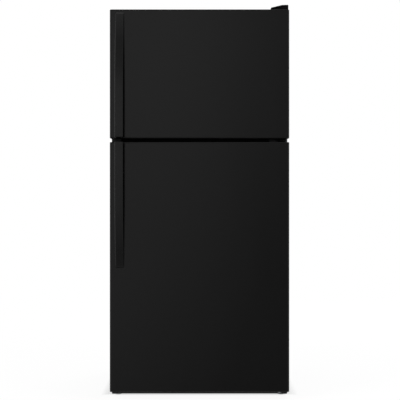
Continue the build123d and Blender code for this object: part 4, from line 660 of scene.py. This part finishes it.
build("dairyLid", "dairy_lid", parts, "clearPlastic", "dairy_lid")
print("door bins and lid")

# crispers: a tub with side flanges behind a thick front, and a slider with ribs
crisperTub = {
    "wall": 0.0025, "rim": 0.0035, "corner": (0.018, 0.018, 0.002, 0.002), "flange": 0.008, "reach": 0.0084,
    "frontSheet": 0.014, "lap": 0.003, "frontRise": 0.008, "frontCorner": 0.010, "frontEdge": 0.0025,
    "scoopRadius": 0.012, "scoopDrop": 0.046, "scoopHalf": 0.075, "scoopSoft": 0.006, "pocketHalf": 0.0313,
    "pocketHeight": 0.0058, "pocketDepth": 0.005, "sliderDrop": 0.018, "soft": 0.0006, "join": 0.001,
    "lines": (40, 30), "scoopRows": 17}
sliderRib = {"edge": 0.0018, "half": 0.0006, "out": 0.0008, "in": 0.001, "inset": 0.0025, "ribEdge": 0.0005}


def joinLines(*lines):
    # all grid lines in order, each once
    return np.unique(np.round(chain(*lines), 7))


def gridLines(low, high, count, breaks, soft):
    # evenly spaced lines with a close pair at each break, where the surface steps
    extra = np.array([line + side * soft for line in breaks for side in (-0.5, 0.5)])
    lines = chain(np.linspace(low, high, count), extra)
    return lines[(lines >= low) & (lines <= high)]


def stepUp(value, low, high, soft):
    # 0 outside a span and 1 inside it, with ramps as wide as soft at both ends
    return np.minimum(np.clip((value - low) / soft + 0.5, 0, 1), np.clip((high - value) / soft + 0.5, 0, 1))


def crisperFront(x, front, z):
    # y over a grid of x and z: flat, less a quarter round at the outline, a round scoop and a slider pocket;
    # rows near the top and bottom are shortened along a circle, which rounds the outline's corners
    p = crisperTub
    corner, edge, soft, scoopR = p["frontCorner"], p["frontEdge"], p["soft"], p["scoopRadius"]
    middle, half = (x[0] + x[1]) / 2, (x[1] - x[0]) / 2
    scoopZ = z[1] - p["frontRise"] - p["scoopDrop"]
    pocketZ = z[1] - p["sliderDrop"]
    pocket = (pocketZ - p["pocketHeight"], pocketZ + p["pocketHeight"])
    curl = quarter(8)[1]
    scoopLines = scoopZ + scoopR * np.cos(np.linspace(0, np.pi, p["scoopRows"]))
    zLines = joinLines(gridLines(*z, p["lines"][1], pocket, soft), z[0] + curl * corner, z[1] - curl * corner,
                       scoopLines)
    breaks = [middle + s * d for s in (-1, 1) for d in (p["pocketHalf"], p["scoopHalf"])]
    xLines = joinLines(gridLines(*x, p["lines"][0], breaks, soft), x[0] + curl * edge, x[1] - curl * edge)
    away = corner - np.clip(np.minimum(zLines - z[0], z[1] - zLines), 0, corner)
    shorten = corner - np.sqrt(corner ** 2 - away ** 2)
    gridX = middle + (xLines[None] - middle) * (1 - shorten / half)[:, None]
    gridZ = np.broadcast_to(zLines[:, None], gridX.shape)
    edgeX = (half - shorten)[:, None] - np.abs(gridX - middle)
    toEdge = np.minimum(edgeX, np.minimum(gridZ - z[0], z[1] - gridZ))
    into = edge - np.clip(toEdge, 0, edge)
    depth = edge - np.sqrt(np.maximum(edge ** 2 - into ** 2, 0))
    scoop = np.sqrt(np.maximum(scoopR ** 2 - (gridZ - scoopZ) ** 2, 0))
    depth = np.maximum(depth, scoop * stepUp(gridX, middle - p["scoopHalf"], middle + p["scoopHalf"], p["scoopSoft"]))
    inPocket = stepUp(gridX, middle - p["pocketHalf"], middle + p["pocketHalf"], soft) * stepUp(gridZ, *pocket, soft)
    depth = np.maximum(depth, p["pocketDepth"] * inPocket)
    return foldBack(np.stack((gridX, front + depth, gridZ), axis=-1), 1, front + p["frontSheet"])


for side in ("left", "right"):
    p = crisperTub
    low, high = corners(side + "_crisper")
    tubX = (low[0] + p["reach"], high[0] - p["reach"])
    top, frontBack, join = high[2] - p["frontRise"], low[1] + p["frontSheet"], p["join"]
    parts = [tubShell((tubX[0], frontBack - p["wall"], low[2]), (tubX[1], high[1], top), p["wall"], p["rim"],
                      p["corner"]),
             crisperFront((tubX[0] - p["lap"], tubX[1] + p["lap"]), low[1], (low[2], high[2]))]
    for x in ((low[0], tubX[0] + join), (tubX[1] - join, high[0])):
        flangeHigh = (x[1], high[1] - p["corner"][0], top)
        parts.append(softBox((x[0], frontBack - join, top - p["flange"]), flangeHigh, join, "y"))
    build(side + "Crisper", side + "_crisper", parts, "clearPlastic", side + "_crisper")
    p = sliderRib
    low, high = corners(side + "_humidity_slider")
    parts = [softBox(low, high, p["edge"], "y")]
    for x in np.linspace(low[0], high[0], 7)[2:5]:
        parts.append(softBox((x - p["half"], low[1] - p["out"], low[2] + p["inset"]),
                             (x + p["half"], low[1] + p["in"], high[2] - p["inset"]), p["ribEdge"], "y"))
    build(side + "HumiditySlider", side + "_humidity_slider", parts, "whiteTrim", side + "_humidity_slider", sharp=35)
print("crispers")

# shelves: a moulded rim round a pane let into its top
shelfRim = {
    "width": 0.014, "corner": (0.003, 0.003, 0.007, 0.007), "edge": 0.003, "under": 0.0012, "recess": 0.0042,
    "lap": 0.0083, "lip": 0.0005, "levels": ((0.560, 0.574), (0.790, 0.804)), "paneGap": 0.0003, "pane": 0.004,
    "paneEdge": 0.0008, "paneCorner": 0.002}
coverRim = {
    "height": 0.014, "web": 0.008, "reach": 0.009, "runner": 0.008, "start": 0.0163, "rear": 0.001, "root": 0.002,
    "webEdge": 0.0008, "runnerEdge": 0.0012}


def rimSurface(low, high):
    # a closed section carried round the rim: out, up over a round edge, down into the recess and back
    edge, width, under, lip = [shelfRim[key] for key in ("edge", "width", "under", "lip")]
    drop, climb = quarter(5)
    ledge, recess = width - shelfRim["lap"], high[2] - shelfRim["recess"]
    inset = chain([width - under, under], under * drop, edge * climb, [ledge - lip, ledge, ledge, width, width])
    z = chain([low[2], low[2]], low[2] + under * climb, high[2] - edge * drop,
              [high[2], high[2] - lip, recess, recess, low[2] + under])
    return ringLoft(low[:2], high[:2], inset, z, shelfRim["corner"], "z", closed=True)


def paneSurface(low, high):
    # a soft-edged plate in the rim's recess, with a small gap all round
    inset = shelfRim["width"] - shelfRim["lap"] + shelfRim["paneGap"]
    paneLow = (low[0] + inset, low[1] + inset, high[2] - shelfRim["pane"])
    return softBox(paneLow, (high[0] - inset, high[1] - inset, high[2]), shelfRim["paneEdge"], "z",
                   shelfRim["paneCorner"])


low, high = corners("shelf_frames")
shelfBoxes = [((low[0], low[1], z[0]), (high[0], high[1], z[1])) for z in shelfRim["levels"]]
build("shelfFrames", "shelf_frames", [rimSurface(*box) for box in shelfBoxes], "whiteTrim")
low, high = corners("crisper_frame")
rimLow = (low[0], low[1], high[2] - coverRim["height"])
web = coverRim["web"] / 2
reach = web + coverRim["reach"]
parts = [rimSurface(rimLow, high)]
for half, bottom, top, edge in ((web, low[2], rimLow[2] + coverRim["root"], coverRim["webEdge"]),
                                (reach, low[2], low[2] + coverRim["runner"], coverRim["runnerEdge"]),
                                (reach, rimLow[2], high[2] - shelfRim["recess"], coverRim["runnerEdge"])):
    parts.append(softBox((-half, low[1] + coverRim["start"], bottom), (half, high[1] - coverRim["rear"], top), edge,
                         "y"))
build("crisperFrame", "crisper_frame", parts, "whiteTrim")
panes = [paneSurface(*box) for box in shelfBoxes + [(rimLow, high)]]
build("shelfPanes", "shelf_glass", panes, "shelfPane")

# wire shelf: one rod bent round the frame and thin wires laid across it, dipped a little at both ends
wireShelf = {
    "rod": 0.004, "wire": 0.0018, "pitch": 0.026, "bend": 0.012, "end": 0.0015, "dipReach": 0.003, "dip": 0.0012,
    "points": 9}
low, high = corners("freezer_shelf")
rod, level = wireShelf["rod"], low[2] + wireShelf["rod"]
half = (high[0] - low[0]) / 2 - rod
a, b = roundRing([half], [(high[1] - low[1]) / 2 - rod], [wireShelf["bend"]], steps=9)
loop = place(a[0], b[0] + (low[1] + high[1]) / 2, level, "z")
parts = [roundBar(loop, rod, (0, 0, 1), sides=12, closed=True)]
run = np.linspace(low[1] + wireShelf["end"], high[1] - wireShelf["end"], wireShelf["points"])
dipped = (run < low[1] + wireShelf["dipReach"]) | (run > high[1] - wireShelf["dipReach"])
wireLevel = level + rod - wireShelf["wire"] / 2 - np.where(dipped, wireShelf["dip"], 0)
for x in np.linspace(-half, half, int(2 * half // wireShelf["pitch"]) + 1)[1:-1]:
    parts.append(roundBar(place(np.full_like(run, x), run, wireLevel, "z"), wireShelf["wire"], (1, 0, 0)))
build("wireShelf", "freezer_shelf", parts, "coatedWire", sharp=50)
print("shelves")

# controls: two fluted knobs with a finger bar and a shaft, ticks round them, a ribbed lens and the light's button;
# a knob's profile is radius, distance from the base and how much of the flutes' depth shows there
dialKnob = {
    "base": 0.015, "disc": 0.008, "flutes": 24, "flute": 0.0004, "gripHalf": 0.0029, "gripReach": 0.0132,
    "gripEdge": 0.002, "join": 0.001, "shaft": 0.004, "sides": 120,
    "profile": ((0.0139, 0.0, 1), (0.014, 0.0004, 1), (0.014, 0.0060, 1), (0.0136, 0.0072, 0.6), (0.0126, 0.0080, 0),
                (0.006, 0.0080, 0))}
dialTick = {
    "face": 0.005, "radius": 0.0158, "half": 0.0006, "out": 0.0004, "in": 0.001, "edge": 0.0003, "count": 7,
    "span": 135}
for knob in ("fridge", "freezer"):
    p = dialKnob
    low, high = corners(knob + "_knob")
    x, z, base = (low[0] + high[0]) / 2, (low[2] + high[2]) / 2, low[1] + p["base"]
    turn = fullTurn(p["sides"])
    radius, rise, share = np.array(p["profile"]).T[:, :, None]
    # radius against angle: a shallow cosine for each flute, faded out towards the face
    radius = radius - p["flute"] * (1 - np.cos(p["flutes"] * turn)) / 2 * share
    parts = [surface(place(x + radius * np.cos(turn), z + radius * np.sin(turn), base - rise, "y")),
             softBox((x - p["gripHalf"], low[1], z - p["gripReach"]),
                     (x + p["gripHalf"], base - p["disc"] + p["join"], z + p["gripReach"]), p["gripEdge"], "y"),
             lathe([p["shaft"]] * 2, [base, high[1]], (x, 0, z), "y", sides=24)]
    build(knob + "Knob", knob + "_knob", parts, "whiteTrim", knob + "_knob")
    p = dialTick
    face, half, ticks = high[1] - p["face"], p["half"], []
    for angle in np.radians(np.linspace(-p["span"], p["span"], p["count"])):
        tickX, tickZ = x + p["radius"] * np.sin(angle), z + p["radius"] * np.cos(angle)
        ticks.append(softBox((tickX - half, face - p["out"], tickZ - half),
                             (tickX + half, face + p["in"], tickZ + half), p["edge"], "y"))
    build(knob + "DialTicks", None, ticks, "blackMoulding", sharp=35)
lampCover = {
    "flange": 0.0043, "sheet": 0.0025, "fold": 0.0005, "edge": 0.0006, "corner": 0.003, "rib": 0.0009,
    "ribPitch": 0.006, "lines": (260, 6)}
low, high = corners("light_lens")
# z over x and y: a flat underside with rounded ribs along Y, folded up to the flange
flange, under = lampCover["flange"], low[2] + lampCover["sheet"]
gridX, gridY = np.meshgrid(*[np.linspace(low[i] + flange, high[i] - flange, lampCover["lines"][i]) for i in (0, 1)],
                           indexing="ij")
ribs = lampCover["rib"] * np.abs(np.sin(np.pi * (gridX - (low[0] + flange)) / lampCover["ribPitch"]))
parts = [foldBack(np.stack((gridX, gridY, low[2] + lampCover["rib"] - ribs), axis=-1), 2, under + lampCover["fold"]),
         softBox((low[0], low[1], under), high, lampCover["edge"], "z", lampCover["corner"])]
build("lampLens", "light_lens", parts, "lampLens", sharp=60)
buttonNose = 0.003
low, high = corners("light_switch_button")
radius, (drop, climb) = (high[0] - low[0]) / 2, quarter(8)
button = lathe(np.append(radius - buttonNose * drop, radius), np.append(low[1] + buttonNose * climb, high[1]),
               ((low[0] + high[0]) / 2, 0, (low[2] + high[2]) / 2), "y", sides=28)
build("lightSwitchButton", "light_switch_button", [button], "whiteTrim", "light_switch_button", sharp=35)
print("controls")

# fans: a hub with a shaft hole and five twisted blades; the hub's two ends are given as in from its radius
# and along from that end
fanWheel = {
    "hub": 0.014, "bore": 0.0034, "root": 0.011, "shoulder": 0.044, "tip": 0.046, "tipRound": 0.0452, "tipChord": 0.9,
    "blades": 5, "chord": 0.010, "belly": 0.18, "sheet": 0.0017, "camber": 0.0012, "hubPitch": 42, "tipPitch": 27,
    "rows": 16, "sides": 18, "front": ((0.003, 0.0), (0.0008, 0.0009), (0.0, 0.003)),
    "back": ((0.0, 0.0006), (0.0006, 0.0))}
fanMotor = {
    "radius": 0.024, "length": 0.030, "edge": 0.003, "shaft": 0.003, "shaftEdge": 0.0006, "shaftRoot": 0.001,
    "offset": 0.029, "seam": 0.0008, "seamLines": (-0.0022, -0.0016, 0.0016, 0.0022)}


def spindle(wheel, axis):
    # the axis of the joint that turns a fan, with nothing along it, and the fan's span along it
    shift = np.array(next(joint["pos_m"] for joint in frame["joints"] if joint["child"] == wheel))
    along = "xyz".index(axis)
    shift[along] = 0
    return shift, [corner[along] for corner in corners(wheel)]


def fanSurfaces(wheel, axis):
    # a blade's section is a thin ellipse, turned by a pitch that eases off towards the tip and wrapped
    # round the axis at its own radius; rows run from inside the hub to the tip
    p = fanWheel
    shift, span = spindle(wheel, axis)
    middle = shift + (np.array(list("xyz")) == axis) * (span[0] + span[1]) / 2
    hub, bore = p["hub"], p["bore"]
    radius = np.append(np.linspace(p["root"], p["shoulder"], p["rows"]), [p["tipRound"], p["tip"]])[:, None]
    share = (radius - hub) / (p["tip"] - hub)
    pitch = np.radians(p["hubPitch"] + (p["tipPitch"] - p["hubPitch"]) * share)
    chord = p["chord"] * (1 - p["belly"] + p["belly"] * np.sin(np.pi * np.clip(share, 0, 1)))
    chord = chord * np.where(radius > p["tipRound"], p["tipChord"], 1)
    around = fullTurn(p["sides"])
    s = chord * np.cos(around)
    t = p["sheet"] / 2 * np.sin(around)[None] + p["camber"] * (s / chord) ** 2
    tangent = s * np.cos(pitch) - t * np.sin(pitch)
    rise = s * np.sin(pitch) + t * np.cos(pitch)
    parts = []
    for number in range(p["blades"]):
        angle = tangent / radius + 2 * np.pi * number / p["blades"]
        a, b = radius * np.cos(angle), radius * np.sin(angle)
        blade = (a, rise, -b) if axis == "y" else (rise, b, -a)
        parts.append(surface(np.stack(blade, axis=-1) + middle))
    profile = [(bore, span[0])] + [(hub - inset, span[0] + on) for inset, on in p["front"]]
    profile += [(hub - inset, span[1] - on) for inset, on in p["back"]] + [(bore, span[1])]
    return parts + [lathe(*np.array(profile).T, shift, axis, closed=True)]


def motorSurfaces(wheel, axis):
    # a can with rounded ends, a rolled seam round its middle and a shaft towards the wheel
    p = fanMotor
    shift, span = spindle(wheel, axis)
    start = span[0] + p["offset"]
    end = start + p["length"]
    drop, climb = quarter(6)
    edge, shaft, can = p["edge"], p["shaft"], p["radius"] - p["seam"]
    profileR = chain(can - edge * drop, [can, p["radius"], p["radius"], can], can - edge * climb)
    profileD = chain(start + edge * climb, (start + end) / 2 + np.array(p["seamLines"]), end - edge * drop)
    shaftEnds = [span[0], span[0] + p["shaftEdge"], start + p["shaftRoot"]]
    return [lathe(profileR, profileD, shift, axis, sides=44),
            lathe([shaft - p["shaftEdge"], shaft, shaft], shaftEnds, shift, axis, sides=20)]


fans = (("evaporator", "y"), ("condenser", "x"))
for fan, axis in fans:
    build(fan + "Fan", fan + "_fan", fanSurfaces(fan + "_fan", axis), "greyMoulding", fan + "_fan")
motors = [part for fan, axis in fans for part in motorSurfaces(fan + "_fan", axis)]
build("fanMotors", "fan_motors", motors, "platedSteel")
print("fans")

# compressor: a lower cup and a domed lid that meet in a rolled seam, a foot plate, a relay box and two stubs
pumpShell = {
    "halfLength": 0.100, "halfWidth": 0.068, "height": 0.140, "seam": 0.085, "cupFoot": 0.018, "lid": 0.004,
    "dome": 0.036, "domeShare": 0.8, "domeDrop": 0.003, "crown": 0.055,
    "seamInset": (0.004, 0.0008, 0, 0, 0.0008, 0.0024), "seamRise": (-0.004, -0.0035, -0.0025, 0.0025, 0.0035, 0.004),
    "footSheet": 0.003, "footEdge": 0.0008, "footRound": 0.014, "relay": (0.024, 0.023, 0.042, 0.060),
    "relayEdge": 0.005, "stub": (0.005, 0.012, 0.030, 0.050), "stubRoot": 0.05, "stubEdge": 0.0006, "sides": 96}


def pumpSurfaces():
    # ovals stacked in height: each is the seam's oval less an inset, round at the foot and over the dome
    p = pumpShell
    low, high = corners("compressor")
    halfLength = p["halfLength"]
    stub, stubReach, stubOffset, stubLevel = p["stub"]
    x, y, base = high[0] - stubReach - halfLength, (low[1] + high[1]) / 2, high[2] - p["height"]
    drop, climb = quarter(9)
    inset = chain(p["lid"] + p["cupFoot"] * drop, p["seamInset"], p["seamInset"][-1] + p["dome"] * climb,
                  [p["crown"]])
    z = chain(p["cupFoot"] * climb, p["seam"] + np.array(p["seamRise"]),
              p["height"] - p["dome"] * p["domeShare"] * drop - p["domeDrop"], [p["height"]])
    around = fullTurn(p["sides"])
    a = x + (halfLength - inset)[:, None] * np.cos(around)
    b = y + (p["halfWidth"] - inset)[:, None] * np.sin(around)
    depth, half, rise, tall = p["relay"]
    relayX, relayZ = x - halfLength, base + rise
    parts = [surface(place(a, b, (base + z)[:, None], "z")),
             softBox((x - halfLength, low[1], low[2]), (x + halfLength, high[1], low[2] + p["footSheet"]),
                     p["footEdge"], "z", p["footRound"]),
             softBox((relayX - depth, y - half, relayZ), (relayX + depth, y + half, relayZ + tall), p["relayEdge"],
                     "x")]
    stubX = [x + p["stubRoot"], high[0] - p["stubEdge"], high[0]]
    return parts + [lathe([stub, stub, stub - p["stubEdge"]], stubX, (0, y + side * stubOffset, base + stubLevel),
                          "x", sides=24)
                    for side in (-1, 1)]


build("compressorShell", "compressor", pumpSurfaces(), "blackEnamel")
low, high = corners("compressor_grommets")
# the grommet's radius against height
grommet = {
    "radius": 0.011,
    "profile": ((0.0088, 0.0), (0.0105, 0.0006), (0.011, 0.0025), (0.0105, 0.0045), (0.0086, 0.0058),
                (0.0082, 0.0075), (0.0086, 0.0092), (0.0105, 0.0105), (0.011, 0.0125), (0.0105, 0.0144),
                (0.0088, 0.015))}
radius, rise = np.array(grommet["profile"]).T
centres = [(x, y, low[2]) for x in (low[0] + grommet["radius"], high[0] - grommet["radius"])
           for y in (low[1] + grommet["radius"], high[1] - grommet["radius"])]
build("compressorGrommets", "compressor_grommets", [lathe(radius, rise, centre, "z", sides=28) for centre in centres],
      "sealRubber")
drainTray = {"wall": 0.002, "rim": 0.003, "corner": 0.006}
build("drainPan", "drain_pan", [tubShell(*corners("drain_pan"), *drainTray.values())], "greyMoulding")
gland = {
    "flange": 0.015, "neck": 0.011, "bore": 0.0045, "rim": 0.002, "neckEdge": 0.0005, "flangeEdge": 0.0008,
    "mouth": 0.001}
low, high = corners("cord_gland")
neck, rim, bore, mouth = gland["neck"], gland["flange"], gland["bore"], gland["mouth"]
radius = [bore, neck - gland["neckEdge"], neck, neck, rim, rim, rim - gland["flangeEdge"], bore + mouth, bore]
along = [low[1], low[1], low[1] + gland["neckEdge"], high[1] - gland["rim"], high[1] - gland["rim"],
         high[1] - gland["flangeEdge"], high[1], high[1], high[1] - mouth]
centre = ((low[0] + high[0]) / 2, 0, (low[2] + high[2]) / 2)
build("cordGland", "cord_gland", [lathe(radius, along, centre, "y", closed=True)], "blackMoulding")
print("machine bay")

# back sheet: flat, with pressed ribs in a border and a cross
backSheet = {
    "rib": 0.0014, "ribHalf": 0.012, "border": 0.075, "rounding": 0.006, "lap": 0.001, "columns": 150, "rows": 260}
low, high = corners("rear_panel")
gridX, gridZ = np.meshgrid(np.linspace(low[0], high[0], backSheet["columns"]),
                           np.linspace(low[2], high[2], backSheet["rows"]), indexing="ij")
# distance to the nearest rib line: a rectangle set in from the edges and two diagonals inside it
innerX, innerZ = (high[0] - low[0]) / 2 - backSheet["border"], (high[2] - low[2]) / 2 - backSheet["border"]
awayX, awayZ = np.abs(gridX), np.abs(gridZ - (low[2] + high[2]) / 2)
fromFrame = np.abs(np.maximum(awayX - innerX, awayZ - innerZ))
diagonal = np.abs(awayX * innerZ - awayZ * innerX) / np.hypot(innerX, innerZ)
nearest = np.minimum(fromFrame, np.where((awayX < innerX) & (awayZ < innerZ), diagonal, 1.0))
press = np.clip((backSheet["ribHalf"] - nearest) / backSheet["rounding"], 0, 1)
press = backSheet["rib"] * press * press * (3 - 2 * press)  # smooth from 0 to the rib's height
sheetGrid = np.stack((gridX, high[1] + press, gridZ), axis=-1)
build("backSheet", "rear_panel", [foldBack(sheetGrid, 1, low[1] - backSheet["lap"])], "zincSheet", sharp=60)

# rollers: a hub, a sunk web, a rounded tread with a groove; the web's radii are given in from the tread's
wheel = {
    "edge": 0.003, "groove": 0.0012, "grooveLines": (-0.0025, -0.0015, 0.0015, 0.0025),
    "hub": (0.0058, 0.009, 0.0095), "web": (0.006, 0.0055), "sunk": (0, 0, 0.002, 0.002, 0)}
for side in ("left", "right"):
    low, high = corners(side + "_roller")
    radius, edge, groove = (high[2] - low[2]) / 2, wheel["edge"], wheel["groove"]
    drop, climb = quarter(6)
    face, sunk = np.append(wheel["hub"], radius - np.array(wheel["web"])), np.array(wheel["sunk"])
    profileR = chain(face, radius - edge * drop, radius - groove * np.array([0, 1, 1, 0]), radius - edge * climb,
                     face[::-1])
    profileX = chain(low[0] + sunk, low[0] + edge * climb, (low[0] + high[0]) / 2 + np.array(wheel["grooveLines"]),
                     high[0] - edge * drop, high[0] - sunk[::-1])
    roller = lathe(profileR, profileX, (0, (low[1] + high[1]) / 2, (low[2] + high[2]) / 2), "x", sides=56)
    build(side + "Roller", side + "_roller", [roller], "greyMoulding", side + "_roller")

# legs: a foot's radius against height, and a threaded stem
levelLeg = {
    "footHeight": 0.009, "join": 0.0005, "thread": 0.005, "pitch": 0.002, "depth": 0.0007, "rows": 170, "sides": 32,
    "foot": ((0.0128, 0.0), (0.0142, 0.0004), (0.015, 0.0016), (0.015, 0.0058), (0.0144, 0.0072), (0.0125, 0.0082),
             (0.008, 0.009), (0.0052, 0.009))}
for side in ("left", "right"):
    p = levelLeg
    low, high = corners(side + "_leg")
    centre = np.array([(low[0] + high[0]) / 2, (low[1] + high[1]) / 2, 0])
    footR, footZ = np.array(p["foot"]).T
    # thread: radius over height and angle, a triangle wave that moves up one pitch in a full turn
    z = np.linspace(low[2] + p["footHeight"] - p["join"], high[2], p["rows"])[:, None]
    turn = fullTurn(p["sides"])[None]
    phase = (z / p["pitch"] - turn / (2 * np.pi)) % 1.0
    radius = p["thread"] - p["depth"] * (1 - np.abs(2 * phase - 1))
    stem = surface(place(radius * np.cos(turn), radius * np.sin(turn), z, "z") + centre)
    build(side + "Leg", side + "_leg", [lathe(footR, low[2] + footZ, centre, "z", sides=48), stem], "greyMoulding",
          side + "_leg")
print("back, rollers and feet")

# CAD shapes that are right as they are, merged so that their rounds shade smoothly
smoothNodes = {
    "cabinet_shell": "stippledBlackPaint", "mullion_rail": "railShadePaint", "freezer_liner": "liningPlastic",
    "fridge_liner": "liningPlastic", "base_grille": "capMoulding", "base_frame": "zincSheet",
    "top_hinge": "hingePaint", "centre_hinge": "hingePaint", "bottom_hinge": "hingePaint",
    "cabinet_screws": "blackenedSteel", "condenser_coil": "blackEnamel", "fan_shroud": "blackMoulding",
    "compressor_cover": "blackMoulding", "evaporator_coil": "bareAluminium", "evaporator_cover": "liningPlastic",
    "defrost_heater": "platedSteel", "control_housing": "whiteTrim", "air_duct": "liningPlastic"}
for node, finishName in smoothNodes.items():
    mesh = frame["nodes"][node].data.copy()
    mesh.materials.clear()
    dress(node + "Smooth", node, mesh, finishName)
for node in ("cabinet_foam", "freezer_door_foam", "fridge_door_foam"):
    for slot in frame["nodes"][node].material_slots:
        slot.material = finish["rigidFoam"]
print("kept shapes:", len(smoothNodes))

# camera: straight on, where the photograph's scale and centre put it
view = {"x": 0.002, "z": 0.8435, "away": 3.75, "lens": 80.3, "sensor": 36.0, "doorFront": -0.3365}
camera = bpy.data.objects.new("camera", bpy.data.cameras.new("camera"))
camera.location = (view["x"], view["doorFront"] - view["away"], view["z"])
camera.rotation_euler = (math.radians(90), 0, 0)
camera.data.lens = view["lens"]
camera.data.sensor_width = view["sensor"]
bpy.context.scene.collection.objects.link(camera)
bpy.context.scene.camera = camera

# studio: soft lamps, a pale floor that keeps the shadow and a white surround
lamps = {
    "front": {"at": (-1.6, -5.7, 2.6), "to": (-0.1, -0.3, 1.2), "size": (2.8, 2.4), "power": 46},
    "left": {"at": (-4.2, -3.4, 3.2), "to": (0, -0.1, 0.8), "size": (2.6, 2.6), "power": 170},
    "right": {"at": (4.4, -2.6, 2.6), "to": (0, -0.1, 0.8), "size": (2.4, 2.4), "power": 110},
    "back": {"at": (1.8, 4.4, 3.4), "to": (0, 0.3, 0.8), "size": (2.6, 2.6), "power": 140},
}
for name, lamp in lamps.items():
    light = bpy.data.lights.new(name, "AREA")
    light.shape = "RECTANGLE"
    light.size, light.size_y = lamp["size"]
    light.energy = lamp["power"]
    holder = bpy.data.objects.new(name, light)
    holder.location = lamp["at"]
    aim = np.array(lamp["to"]) - np.array(lamp["at"])
    holder.rotation_euler = (math.acos(-aim[2] / np.linalg.norm(aim)), 0, math.atan2(-aim[0], aim[1]))
    holder.visible_glossy = False  # mirrors see the surround alone
    bpy.context.scene.collection.objects.link(holder)


def studioTree(tree):
    # an emptied tree's tools, its light path, and a mask for the rays that the camera itself follows
    tree.nodes.clear()
    _, add, calc = nodeTools(tree)
    path = add("LightPath", {}).outputs
    return add, calc, path, calc("MAXIMUM", path["Is Camera Ray"], path["Is Transmission Ray"])


surround = {
    "diffuse": 0.62, "glossy": 0.65, "up": 1.1, "left": 2.3, "least": 0.37, "most": 1.05,
    "heights": ((0.0, 0.35), (0.29, 0.35), (0.41, 1.0), (0.607, 1.0), (0.655, 0.28), (0.8, 0.3), (0.93, 1.0)),
    "sides": ((0.02, 1.0), (0.09, 0.88), (0.4, 0.7)), "ahead": (0.8, 0.93), "plain": 0.72, "rise": 0.3}
world = bpy.data.worlds.new("studio")
bpy.context.scene.world = world
world.use_nodes = True
add, calc, path, seen = studioTree(world.node_tree)
# what mirrors see: a soft glow about eye level that grows towards the upper left, under a bright ceiling
way = add("SeparateXYZ", {"Vector": add("TexCoord", {}).outputs["Generated"]}).outputs
glow = calc("ADD", calc("MULTIPLY", way["Z"], surround["up"]), calc("MULTIPLY", way["X"], -surround["left"]))
glow = calc("MAXIMUM", calc("ADD", glow, surround["glossy"]), surround["least"])
glow = calc("MINIMUM", glow, surround["most"])
height = calc("ADD", calc("MULTIPLY", way["Z"], 0.5), 0.5)
for along, stops in ((height, surround["heights"]), (calc("ABSOLUTE", way["X"]), surround["sides"])):
    ramp = add("ValToRGB", {"Fac": along})
    ramp.color_ramp.interpolation = "EASE"
    for number, (at, level) in enumerate(stops):
        stop = ramp.color_ramp.elements[number] if number in (0, 1) else ramp.color_ramp.elements.new(at)
        stop.position = at
        stop.color = (level, level, level, 1)
    glow = calc("MULTIPLY", glow, ramp.outputs["Color"])
# that holds in front of the doors; all round it the surround is plain and lighter above
start, end = surround["ahead"]
ahead = add("MapRange", {"Value": calc("MULTIPLY", way["Y"], -1.0), "From Min": start, "From Max": end},
            interpolation_type="SMOOTHSTEP").outputs["Result"]
plain = calc("ADD", calc("MULTIPLY", way["Z"], surround["rise"]), surround["plain"])
glow = calc("ADD", plain, calc("MULTIPLY", calc("SUBTRACT", glow, plain), ahead))
glossy = calc("MULTIPLY", path["Is Glossy Ray"], calc("SUBTRACT", glow, surround["diffuse"]))
strength = calc("MAXIMUM", seen, calc("ADD", glossy, surround["diffuse"]))
backdrop = add("Background", {"Color": (1, 1, 1, 1), "Strength": strength})
add("OutputWorld", {"Surface": backdrop.outputs["Background"]})

# floor: plain paint under the object, turning to the surround's white outside the shadow
floorFade = {
    "paint": 0.9, "half": 0.37, "front": 0.17, "rear": 0.38, "edge": 0.06, "near": 0.93, "farStart": 0.8,
    "farEnd": 3.0, "reach": 40.0}
floorMaterial = bpy.data.materials.new("paleFloor")
floorMaterial.use_nodes = True
add, calc, _, seen = studioTree(floorMaterial.node_tree)
paint = add("BsdfDiffuse", {"Color": (*[floorFade["paint"]] * 3, 1)})
where = add("SeparateXYZ", {"Vector": add("TexCoord", {}).outputs["Object"]}).outputs
beside = calc("SUBTRACT", calc("ABSOLUTE", where["X"]), floorFade["half"])
before = calc("SUBTRACT", -floorFade["front"], where["Y"])
behind = calc("SUBTRACT", where["Y"], floorFade["rear"])
outside = calc("MAXIMUM", beside, calc("MAXIMUM", before, behind))
fades = [add("MapRange", {"Value": outside, "From Min": low, "From Max": high, "To Min": 0.0,
                          "To Max": share}).outputs["Result"]
         for low, high, share in ((0.0, floorFade["edge"], floorFade["near"]),
                                  (floorFade["farStart"], floorFade["farEnd"], 1 - floorFade["near"]))]
white = add("Emission", {"Color": (1, 1, 1, 1), "Strength": 1.0})
blend = add("MixShader", {0: calc("MULTIPLY", calc("ADD", *fades), seen), 1: paint.outputs["BSDF"],
                          2: white.outputs["Emission"]})
add("OutputMaterial", {"Surface": blend.outputs["Shader"]})
reach = floorFade["reach"]
floorMesh = bpy.data.meshes.new("floor")
floorMesh.from_pydata([(-reach, -reach, 0), (reach, -reach, 0), (reach, reach, 0), (-reach, reach, 0)], [],
                      [(0, 1, 2, 3)])
floorMesh.materials.append(floorMaterial)
floor = bpy.data.objects.new("floor", floorMesh)
floor.visible_glossy = False  # mirrors see the surround's glow on below the horizon
bpy.context.scene.collection.objects.link(floor)
bpy.context.scene.view_settings.view_transform = "Standard"
print("studio")
